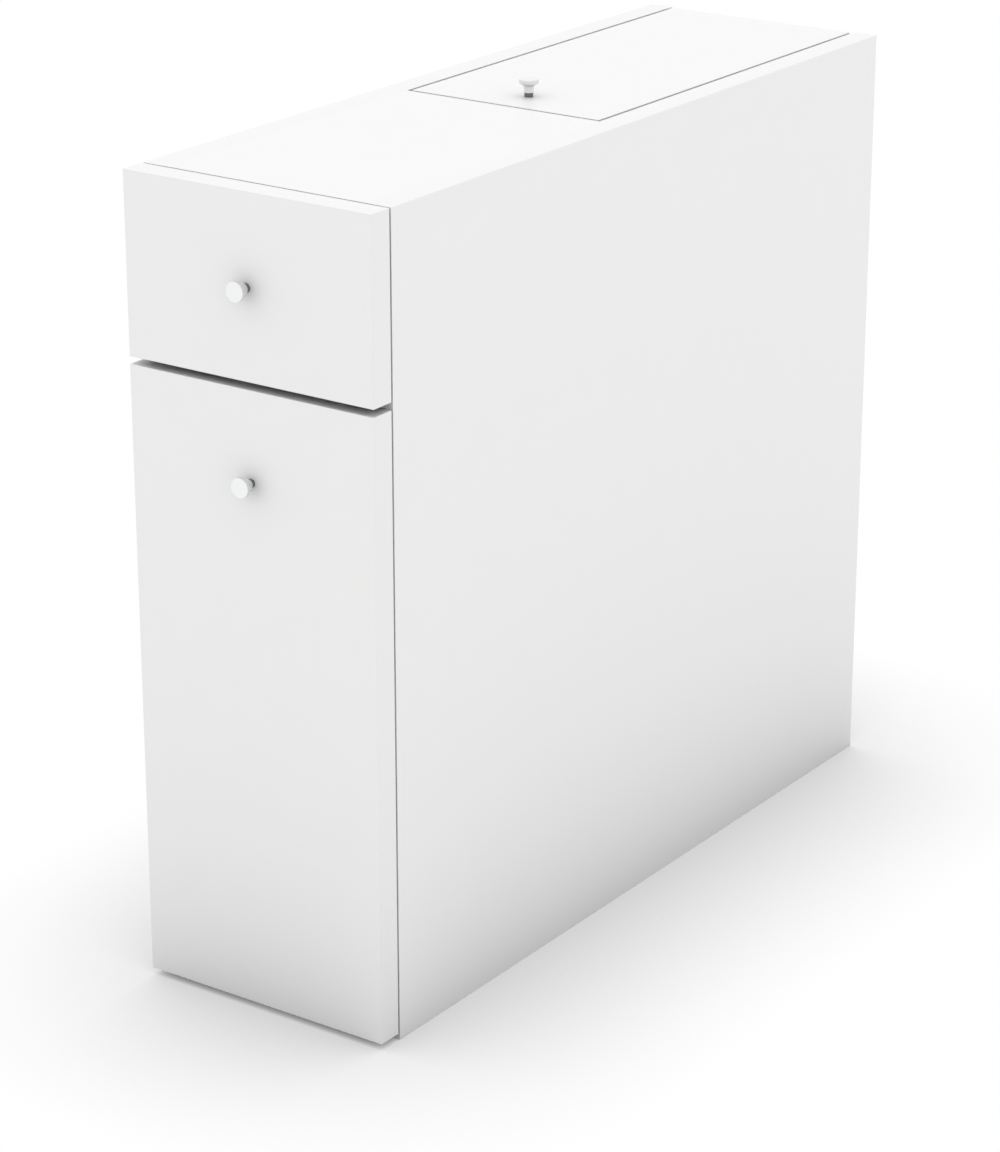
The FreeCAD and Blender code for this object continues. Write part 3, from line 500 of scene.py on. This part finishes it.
def nylon():
    """Milky moulded plastic of the rollers and bushes."""
    finish = Finish("moulded_nylon")
    flow = finish.noise(scale=300.0, detail=3.0)
    finish.coat(flow, finish.colours.nylon_white, darkest=0.95, smooth=0.36, rough=0.46)
    finish.set(Subsurface_Weight=0.12, Subsurface_Scale=1.5 * MILLIMETRE)
    finish.bump(finish.noise(scale=2200.0), strength=0.1, distance=0.03 * MILLIMETRE)
    return finish.material


def silicone():
    """Soft cloudy pads."""
    finish = Finish("clear_silicone")
    cloud = finish.noise(scale=500.0)
    finish.coat(cloud, finish.colours.silicone_clear, darkest=0.94, smooth=0.30, rough=0.40)
    finish.set(IOR=1.41, Transmission_Weight=0.5)
    finish.bump(cloud, strength=0.1, distance=0.03 * MILLIMETRE)
    return finish.material


def knob_metal(name, bright, roughness):
    """Bright turned metal with a slightly uneven sheen."""
    finish = Finish(name)
    cloud = finish.noise(scale=240.0, detail=3.0)
    finish.coat(cloud, bright, darkest=0.995, smooth=roughness - KNOB_SHEEN, rough=roughness + KNOB_SHEEN)
    finish.set(Metallic=1.0)
    finish.bump(finish.noise(scale=1600.0), strength=0.02, distance=0.02 * MILLIMETRE)
    return finish.material


def collar_coat():
    """Dark satin coat of the collars."""
    finish = Finish("collar_coat")
    cloud = finish.noise(scale=600.0, detail=3.0)
    finish.coat(cloud, finish.colours.collar_grey, darkest=0.85, smooth=0.40, rough=0.50)
    finish.bump(finish.noise(scale=2000.0), strength=0.1, distance=0.02 * MILLIMETRE)
    return finish.material


def pale_floor(stage):
    """Glows like a lamp: white to the camera, with the cabinet's soft shadow painted in; to the boards a dimmer
    glow, with painted shade that fades it at their foot.
    """
    finish = Finish("pale_floor")
    sockets = {"Color": (1.0, 1.0, 1.0), "Distance": stage.shade_reach}
    # Painted shadow: the floor darkens where the cabinet hides its sky, and the same shade dims its glow at the
    # cabinet's foot.
    shade = finish.node("ShaderNodeAmbientOcclusion", sockets).outputs["AO"]
    shadow = finish.math("POWER", shade, stage.shade_depth)
    fading = finish.math("POWER", finish.ramp(shade, low=WALL_FOOT_SKY, high=1.0), stage.foot_shade)
    glow = finish.math("MULTIPLY", fading, stage.floor_tone)
    path = finish.tree.nodes.new("ShaderNodeLightPath")
    seen = path.outputs["Is Camera Ray"]
    for ray in ("Is Glossy Ray", "Is Transmission Ray"):
        seen = finish.math("MAXIMUM", seen, path.outputs[ray])
    light = finish.node("ShaderNodeEmission", {"Color": finish.mix(seen, glow, shadow)})
    finish.feed(finish.tree.nodes["Material Output"].inputs["Surface"], light.outputs["Emission"])
    finish.tree.nodes.remove(finish.shader)
    finish.material.cycles.emission_sampling = "NONE"
    return finish.material


def finish_node(node, material):
    """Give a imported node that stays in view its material."""
    frame["nodes"][node].material_slots[0].material = material


def new_piece(name, shape, node, *materials):
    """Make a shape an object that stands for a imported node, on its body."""
    mesh = bpy.data.meshes.new(name)
    shape.to_mesh(mesh)
    shape.free()
    for material in materials:
        mesh.materials.append(material)
    piece = bpy.data.objects.new(name, mesh)
    bpy.context.scene.collection.objects.link(piece)
    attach(piece, BODY_OF[node])
    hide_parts(node)


def joined_copy(node):
    """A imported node's mesh with its loose triangles joined."""
    shape = bmesh.new()
    shape.from_mesh(frame["nodes"][node].data)
    bmesh.ops.remove_doubles(shape, verts=shape.verts, dist=MERGE_DISTANCE)
    return shape


def whole_faces(shape):
    """Join the triangles of each flat face, and shade the faces flat."""
    bmesh.ops.dissolve_limit(shape, angle_limit=FLAT_ANGLE, verts=shape.verts, edges=shape.edges)
    for face in shape.faces:
        face.smooth = False


def is_sharp(edge):
    """Whether two faces meet at a clear corner here."""
    return edge.is_manifold and edge.calc_face_angle() > SHARP_ANGLE


def round_edges(shape, edges, radius, segments):
    """Round some edges, with the rounding shaded smooth."""
    made = bmesh.ops.bevel(
        shape,
        geom=edges,
        offset=radius,
        offset_type="OFFSET",
        segments=segments,
        profile=0.5,
        affect="EDGES",
        material=-1,
        clamp_overlap=True,
    )
    for face in made["faces"]:
        face.smooth = True


def round_sharp_edges(shape, radius):
    """Round every clear corner a little."""
    sharp = [edge for edge in shape.edges if is_sharp(edge)]
    round_edges(shape, sharp, radius, SMALL_STEPS)


def shade_smooth(shape):
    """Shade a turned shape smooth, with its clear corners kept."""
    for face in shape.faces:
        face.smooth = True
    for edge in shape.edges:
        edge.smooth = not is_sharp(edge)


def outline_edges(shape, low, high):
    """The edges on a side panel's outline, apart from the one at its joint under the top."""
    inner = high.x if abs(high.x) < abs(low.x) else low.x
    planes = [(axis, corner[axis]) for axis in (X, Y, Z) for corner in (low, high)]
    outline = []
    for edge in shape.edges:
        sides = [
            (axis, place)
            for axis, place in planes
            if all(abs(point.co[axis] - place) < ON_PLANE for point in edge.verts)
        ]
        at_joint = (X, inner) in sides and (Z, high.z) in sides
        if len(sides) == 2 and not at_joint:
            outline.append(edge)
    return outline


def solids(node):
    """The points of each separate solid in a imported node."""
    shape = joined_copy(node)
    for point in shape.verts:
        point.tag = False
    groups = []
    for first in shape.verts:
        if first.tag:
            continue
        first.tag = True
        group = [first]
        for point in group:
            for edge in point.link_edges:
                other = edge.other_vert(point)
                if not other.tag:
                    other.tag = True
                    group.append(other)
        groups.append([point.co.copy() for point in group])
    shape.free()
    return groups


def along(axis, sign):
    """A direction of length 1 on an axis."""
    direction = Vector((0.0, 0.0, 0.0))
    direction[axis] = sign
    return direction


def corners(points):
    """The lowest and highest corner of some points."""
    low = Vector([min(point[axis] for point in points) for axis in (X, Y, Z)])
    high = Vector([max(point[axis] for point in points) for axis in (X, Y, Z)])
    return low, high


def round_axis(low, high):
    """The axis of a round solid, whose box is as wide as it is deep across that axis."""
    size = high - low
    middle = sorted(size)[1]
    return max((X, Y, Z), key=lambda axis: abs(size[axis] - middle))


def measure_disc(points):
    """Corners, axis and radius of a disc or roller."""
    low, high = corners(points)
    axis = round_axis(low, high)
    across = (axis + 1) % 3
    return Disc(low, high, axis, (high[across] - low[across]) / 2)


def low_end(disc):
    """The middle of a disc's end on the low side of its axis."""
    place = (disc.low + disc.high) / 2
    place[disc.axis] = disc.low[disc.axis]
    return place


def thickness(disc):
    """How far a disc reaches along its axis."""
    return disc.high[disc.axis] - disc.low[disc.axis]


def measure_pin(points):
    """Where a headed pin ends, which way its head looks, and its sizes."""
    low, high = corners(points)
    axis = round_axis(low, high)
    middle = (low + high) / 2

    def radius(point):
        away = point - middle
        away[axis] = 0.0
        return away.length

    head_radius = max(radius(point) for point in points)
    head = [point[axis] for point in points if radius(point) > head_radius - ON_PLANE]
    sign = 1 if sum(head) / len(head) > middle[axis] else -1
    top = middle.copy()
    top[axis] = high[axis] if sign > 0 else low[axis]
    head_height = max(abs(top[axis] - place) for place in head)
    below_head = head_height + ON_PLANE
    shank = [radius(point) for point in points if abs(top[axis] - point[axis]) > below_head]
    return Pin(top, along(axis, sign), head_radius, head_height, max(shank), high[axis] - low[axis])


def scaled(profile, radius, height):
    """Points of radius and height from a profile of shares."""
    return [(across * radius, up * height) for across, up in profile]


def turned(profile, bored=False):
    """A shape spun round Z from points of radius and height; a bored one has a closed profile."""
    shape = bmesh.new()
    points = [shape.verts.new((radius, 0.0, height)) for radius, height in profile]
    pairs = list(zip(points, points[1:]))
    if bored:
        pairs.append((points[-1], points[0]))
    lines = [shape.edges.new(pair) for pair in pairs]
    bmesh.ops.spin(
        shape,
        geom=points + lines,
        cent=(0.0, 0.0, 0.0),
        axis=(0.0, 0.0, 1.0),
        dvec=(0.0, 0.0, 0.0),
        angle=math.tau,
        steps=bpy.context.scene.cabinet_shapes.turning_steps,
        use_merge=True,
    )
    bmesh.ops.remove_doubles(shape, verts=shape.verts, dist=MERGE_DISTANCE)
    bmesh.ops.recalc_face_normals(shape, faces=shape.faces)
    return shape


def drawn_out(shape, ring, radius, stations):
    """Carry a ring of edges from its radius through further stations of radius and height."""
    height = 0.0
    for next_radius, next_height in stations:
        grown = bmesh.ops.extrude_edge_only(shape, edges=ring)["geom"]
        points = [part for part in grown if isinstance(part, bmesh.types.BMVert)]
        ring = [part for part in grown if isinstance(part, bmesh.types.BMEdge)]
        growth = next_radius / radius
        bmesh.ops.scale(shape, vec=(growth, growth, 1.0), verts=points)
        bmesh.ops.translate(shape, vec=(0.0, 0.0, next_height - height), verts=points)
        radius = next_radius
        height = next_height
    bmesh.ops.edgeloop_fill(shape, edges=ring)


def cross_headed(face_radius, cross, depth, stations):
    """A turned shape with a tapered cross pressed into its flat end, at the origin and facing +Z."""
    shape = bmesh.new()
    bmesh.ops.create_grid(shape, x_segments=CROSS_CELLS, y_segments=CROSS_CELLS, size=cross / 2)
    cells = list(shape.faces)
    rim = [edge for edge in shape.edges if edge.is_boundary]
    steps = bpy.context.scene.cabinet_shapes.turning_steps // 2
    bmesh.ops.create_circle(shape, segments=steps, radius=face_radius)
    ring = [edge for edge in shape.edges if edge.is_wire]
    bmesh.ops.bridge_loops(shape, edges=rim + ring)
    half_cell = cross / (2 * CROSS_CELLS)
    arms = []
    for cell in cells:
        middle = cell.calc_center_median()
        if min(abs(middle.x), abs(middle.y)) < half_cell:
            arms.append(cell)
    pressed = bmesh.ops.extrude_face_region(shape, geom=arms)["geom"]
    bmesh.ops.delete(shape, geom=arms, context="FACES")
    bed = [part for part in pressed if isinstance(part, bmesh.types.BMVert)]
    bmesh.ops.scale(shape, vec=(CROSS_TAPER, CROSS_TAPER, 1.0), verts=bed)
    bmesh.ops.translate(shape, vec=(0.0, 0.0, -depth), verts=bed)
    drawn_out(shape, ring, face_radius, stations)
    bmesh.ops.recalc_face_normals(shape, faces=shape.faces)
    shade_smooth(shape)
    return shape


def place_shape(whole, shape, place, direction):
    """Turn a shape from +Z to a direction, carry it to its place and add it to a whole."""
    turn = direction.to_track_quat("Z", "Y").to_matrix().to_4x4()
    bmesh.ops.transform(shape, matrix=Matrix.Translation(place) @ turn, verts=shape.verts)
    carrier = bpy.data.meshes.new("carrier")
    shape.to_mesh(carrier)
    shape.free()
    whole.from_mesh(carrier)
    bpy.data.meshes.remove(carrier)


def placed(shape, place, direction):
    """A shape turned from +Z to a direction and carried to its place."""
    whole = bmesh.new()
    place_shape(whole, shape, place, direction)
    return whole


def screw_shape(pin):
    """A pan-head screw with a cross recess."""
    radius = pin.head_radius
    height = pin.head_height
    stations = [
        *scaled(SCREW_HEAD, radius, -height),
        (pin.shank_radius, -height),
        *scaled(SCREW_TIP, pin.shank_radius, -pin.length),
    ]
    return cross_headed(
        face_radius=0.68 * radius, cross=0.95 * radius, depth=0.75 * height, stations=stations
    )


def domed_shape(pin):
    """A pin or nail with a plain domed head."""
    shape = turned([
        *scaled(DOMED_HEAD, pin.head_radius, -pin.head_height),
        (pin.shank_radius, -pin.head_height),
        *scaled(DOMED_TIP, pin.shank_radius, -pin.length),
    ])
    shade_smooth(shape)
    return shape


def cam_shape(cam):
    """A cam lock: a drum with a lipped rim and a cross recess in its face."""
    radius = cam.radius
    depth = thickness(cam)
    stations = [*scaled(CAM_FACE, radius, -CAM_LIP), (radius, -depth)]
    return cross_headed(face_radius=0.78 * radius, cross=0.9 * radius, depth=0.2 * depth, stations=stations)


def roller_shape(roller, bore):
    """A moulded roller: hub, sunk web and a tread with rounded shoulders."""
    width = thickness(roller)
    half = [(bore, 0.0), *scaled(ROLLER_SIDE, roller.radius, width)]
    other_half = [(radius, width - height) for radius, height in reversed(half)]
    shape = turned([*half, *other_half], bored=True)
    shade_smooth(shape)
    return shape


def pad_shape(pad):
    """A small domed pad, its flat side at the origin."""
    shape = turned(scaled(PAD_DOME, pad.radius, thickness(pad)))
    shade_smooth(shape)
    return shape


def knob_shape(foot, top):
    """A turned knob between two heights: ring, neck, cone and head. Only its face has the first material; the
    rest has the second, whose darker tone is painted shade on the knob's sides.
    """
    sizes = bpy.context.scene.cabinet_shapes
    neck = foot + sizes.knob_ring_height
    shoulder = top - sizes.knob_rim
    head_radius = sizes.knob_head / 2
    knob = turned((
        (0.0, foot),
        (sizes.knob_ring / 2, foot),
        (sizes.knob_ring / 2, neck),
        (sizes.knob_neck / 2, neck),
        (sizes.knob_neck_top / 2, shoulder - sizes.knob_cone),
        (head_radius, shoulder),
        (head_radius, top),
        (0.0, top),
    ))
    rim = []
    for edge in knob.edges:
        away = [point.co.xy.length - head_radius for point in edge.verts]
        up = [point.co.z - top for point in edge.verts]
        if max(map(abs, away + up)) < ON_PLANE:
            rim.append(edge)
    round_edges(knob, rim, sizes.knob_rim_radius, RIM_STEPS)
    round_sharp_edges(knob, sizes.knob_softness)
    shade_smooth(knob)
    knob.normal_update()
    # Faces that don't look forward take the darker metal: painted shade on the knob's sides.
    for face in knob.faces:
        face.material_index = int(face.normal.z < FACE_ON)
    return knob


def collar_shape(radius, height):
    """A bored collar that stands at the origin."""
    sizes = bpy.context.scene.cabinet_shapes
    bore = sizes.knob_bore / 2
    collar = turned(((bore, 0.0), (radius, 0.0), (radius, height), (bore, height)), bored=True)
    round_sharp_edges(collar, sizes.knob_softness)
    shade_smooth(collar)
    return collar


class CABINET_OT_side_boards(Operator):
    """Model the two side panels with rounded outer edges, banded fronts and raw rears."""

    bl_idname = "cabinet.side_boards"
    bl_label = "Side boards"

    def execute(self, context):
        board = melamine("side_melamine", X, raw_edges=True)
        for node, name in SIDE_PANELS.items():
            shape = joined_copy(node)
            whole_faces(shape)
            edges = outline_edges(shape, *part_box(node))
            round_edges(shape, edges, context.scene.cabinet_shapes.edge_radius, EDGE_STEPS)
            new_piece(name, shape, node, board)
        return {"FINISHED"}


class CABINET_OT_flat_boards(Operator):
    """Model the fronts and the lid with crisp edges, and finish the fixed boards in melamine."""

    bl_idname = "cabinet.flat_boards"
    bl_label = "Fronts, lid and fixed boards"

    def execute(self, context):
        boards = {Y: melamine("upright_melamine", Y), Z: melamine("level_melamine", Z)}
        for node, axis in INNER_BOARDS.items():
            finish_node(node, boards[axis])
        sizes = context.scene.cabinet_shapes
        band = edge_band()
        for node, (name, axis, rounding) in MOVING_BOARDS.items():
            low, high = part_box(node)
            shape = bmesh.new()
            bmesh.ops.create_cube(shape, size=1.0)
            bmesh.ops.scale(shape, vec=high - low, verts=shape.verts)
            bmesh.ops.translate(shape, vec=(low + high) / 2, verts=shape.verts)
            broad = [face for face in shape.faces if abs(face.normal[axis]) > FACE_ON]
            outline = shape.edges[:]
            for face in shape.faces:
                face.material_index = 1
            bmesh.ops.inset_individual(
                shape, faces=broad, thickness=sizes.band_thickness, use_even_offset=True
            )
            for face in broad:
                face.material_index = 0
            round_edges(shape, outline, getattr(sizes, rounding), EDGE_STEPS)
            new_piece(name, shape, node, boards[axis], band)
        return {"FINISHED"}


class CABINET_OT_box_boards(Operator):
    """Finish the sides, backs and bottoms of the two boxes."""

    bl_idname = "cabinet.box_boards"
    bl_label = "Box boards"

    def execute(self, context):
        foil = box_foil()
        for node in BOX_BOARDS:
            finish_node(node, foil)
        bottom = hardboard("bottom_hardboard", Z, painted_side=1)
        for box in BOXES:
            finish_node(f"{box}_bottom", bottom)
        return {"FINISHED"}


class CABINET_OT_back(Operator):
    """Finish the thin back, painted inside and raw behind."""

    bl_idname = "cabinet.back"
    bl_label = "Back"

    def execute(self, context):
        finish_node("back_panel", hardboard("back_hardboard", Y, painted_side=-1))
        return {"FINISHED"}


class CABINET_OT_knobs(Operator):
    """Turn the three knobs and their dark collars."""

    bl_idname = "cabinet.knobs"
    bl_label = "Knobs"

    def execute(self, context):
        colours = context.scene.cabinet_finishes
        polished = knob_metal("polished_metal", colours.knob_face, colours.face_roughness)
        # Rougher and darker than the faces' metal; the darker tone is painted shade on the knobs' sides.
        brushed_and_shaded = knob_metal("brushed_metal", colours.knob_shaded_side, colours.side_roughness)
        coat = collar_coat()
        for name in KNOBS:
            low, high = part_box(f"{name}_knob")
            foot_low, foot_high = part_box(f"{name}_knob_collar")
            axis = round_axis(foot_low, foot_high)
            sign = 1 if (low + high)[axis] > (foot_low + foot_high)[axis] else -1
            direction = along(axis, sign)
            foot = (foot_low + foot_high) / 2
            foot[axis] = foot_low[axis] if sign > 0 else foot_high[axis]
            collar_height = foot_high[axis] - foot_low[axis]
            collar_radius = (foot_high.x - foot_low.x) / 2
            top = collar_height + high[axis] - low[axis]
            knob = placed(knob_shape(collar_height, top), foot, direction)
            new_piece(f"{name}_turned_knob", knob, f"{name}_knob", polished, brushed_and_shaded)
            collar = placed(collar_shape(collar_radius, collar_height), foot, direction)
            new_piece(f"{name}_dark_collar", collar, f"{name}_knob_collar", coat)
        return {"FINISHED"}


class CABINET_OT_runners(Operator):
    """Model the folded runner halves with rounded bends."""

    bl_idname = "cabinet.runners"
    bl_label = "Runners"

    def execute(self, context):
        coat = powder_coat()
        for node in RUNNERS:
            shape = joined_copy(node)
            whole_faces(shape)
            bends = []
            for edge in shape.edges:
                first, second = (point.co for point in edge.verts)
                run = second - first
                lengthwise = abs(run.y) > RUNS_ALONG * run.length and run.length > MILLIMETRE
                if lengthwise and is_sharp(edge):
                    bends.append(edge)
            round_edges(shape, bends, context.scene.cabinet_shapes.bend_radius, SMALL_STEPS)
            new_piece(f"{node}_steel", shape, node, coat)
        return {"FINISHED"}


class CABINET_OT_rollers(Operator):
    """Turn the moulded rollers of both runner halves."""

    bl_idname = "cabinet.rollers"
    bl_label = "Rollers"

    def execute(self, context):
        plastic = nylon()
        for node in ROLLERS:
            whole = bmesh.new()
            for points in solids(node):
                roller = measure_disc(points)
                middle = (roller.low + roller.high) / 2
                bore = min((point - middle).yz.length for point in points)
                place_shape(whole, roller_shape(roller, bore), low_end(roller), along(roller.axis, 1))
            new_piece(f"{node}_moulded", whole, node, plastic)
        return {"FINISHED"}


class CABINET_OT_fasteners(Operator):
    """Model the screws, roller pins, nails and cam locks, and finish the cam bolts and lid pins."""

    bl_idname = "cabinet.fasteners"
    bl_label = "Fasteners"

    def execute(self, context):
        plate = zinc()
        for nodes, make in ((SCREWS, screw_shape), (DOMED_PINS, domed_shape)):
            for node in nodes:
                whole = bmesh.new()
                for points in solids(node):
                    pin = measure_pin(points)
                    place_shape(whole, make(pin), pin.top, pin.direction)
                new_piece(f"{node}_plated", whole, node, plate)
        whole = bmesh.new()
        for points in solids("cam_locks"):
            cam = measure_disc(points)
            place_shape(whole, cam_shape(cam), low_end(cam), along(cam.axis, -1))
        new_piece("cam_locks_plated", whole, "cam_locks", plate)
        for node in ("cam_bolts", "lid_pivot_pins"):
            finish_node(node, plate)
        return {"FINISHED"}


class CABINET_OT_soft_fittings(Operator):
    """Model the pads behind the fronts, and finish the dowels and the lid's bushes."""

    bl_idname = "cabinet.soft_fittings"
    bl_label = "Pads, dowels and bushes"

    def execute(self, context):
        whole = bmesh.new()
        for points in solids("front_bumpers"):
            pad = measure_disc(points)
            place = (pad.low + pad.high) / 2
            place.y = pad.high.y
            place_shape(whole, pad_shape(pad), place, along(Y, -1))
        new_piece("front_pads", whole, "front_bumpers", silicone())
        wood = beech()
        for node in DOWELS:
            finish_node(node, wood)
        finish_node("lid_pivot_bushes", nylon())
        return {"FINISHED"}


class CABINET_OT_stage(Operator):
    """Set the floor, the light and the camera."""

    bl_idname = "cabinet.stage"
    bl_label = "Stage"

    def execute(self, context):
        scene = context.scene
        stage = scene.cabinet_stage
        scene.view_settings.view_transform = "Standard"
        scene.cycles.diffuse_bounces = stage.light_bounces
        scene.cycles.caustics_reflective = False

        shape = bmesh.new()
        bmesh.ops.create_grid(shape, x_segments=1, y_segments=1, size=stage.floor_size / 2)
        mesh = bpy.data.meshes.new("floor")
        shape.to_mesh(mesh)
        shape.free()
        mesh.materials.append(pale_floor(stage))
        floor = bpy.data.objects.new("floor", mesh)
        scene.collection.objects.link(floor)

        scene.world = bpy.data.worlds.new("white_dome")
        scene.world.use_nodes = True
        sky = scene.world.node_tree.nodes["Background"]
        sky.inputs["Color"].default_value = (1.0, 1.0, 1.0, 1.0)
        sky.inputs["Strength"].default_value = 1.0

        lens = bpy.data.cameras.new("camera")
        lens.lens = stage.camera_lens
        camera = bpy.data.objects.new("camera", lens)
        camera.location = stage.camera_place
        camera.rotation_euler = (math.pi / 2 - stage.camera_tilt, 0.0, stage.camera_turn)
        scene.collection.objects.link(camera)
        scene.camera = camera
        return {"FINISHED"}


OPERATORS = (
    CABINET_OT_side_boards,
    CABINET_OT_flat_boards,
    CABINET_OT_box_boards,
    CABINET_OT_back,
    CABINET_OT_knobs,
    CABINET_OT_runners,
    CABINET_OT_rollers,
    CABINET_OT_fasteners,
    CABINET_OT_soft_fittings,
    CABINET_OT_stage,
)
SETTINGS = {
    "cabinet_finishes": CabinetFinishes,
    "cabinet_shapes": CabinetShapes,
    "cabinet_stage": CabinetStage,
}


class CABINET_PT_sidebar(Panel):
    """The cabinet's settings and the steps that make it."""

    bl_idname = "CABINET_PT_sidebar"
    bl_label = "Bathroom cabinet"
    bl_space_type = "VIEW_3D"
    bl_region_type = "UI"
    bl_category = "Cabinet"

    def draw(self, context):
        for group, kind in SETTINGS.items():
            box = self.layout.box()
            for name in kind.__annotations__:
                box.prop(getattr(context.scene, group), name)
        for operator in OPERATORS:
            self.layout.operator(operator.bl_idname)


CLASSES = (*SETTINGS.values(), *OPERATORS, CABINET_PT_sidebar)


def register():
    """Make the settings, steps and panel known to Blender."""
    for kind in CLASSES:
        bpy.utils.register_class(kind)
    for group, kind in SETTINGS.items():
        setattr(bpy.types.Scene, group, PointerProperty(type=kind))


def unregister():
    """Take the settings, steps and panel away again."""
    for group in SETTINGS:
        delattr(bpy.types.Scene, group)
    for kind in reversed(CLASSES):
        bpy.utils.unregister_class(kind)


def main():
    """Run every step in order."""
    register()
    bpy.ops.cabinet.side_boards()
    bpy.ops.cabinet.flat_boards()
    bpy.ops.cabinet.box_boards()
    bpy.ops.cabinet.back()
    bpy.ops.cabinet.knobs()
    bpy.ops.cabinet.runners()
    bpy.ops.cabinet.rollers()
    bpy.ops.cabinet.fasteners()
    bpy.ops.cabinet.soft_fittings()
    bpy.ops.cabinet.stage()


if __name__ == "__main__":
    main()
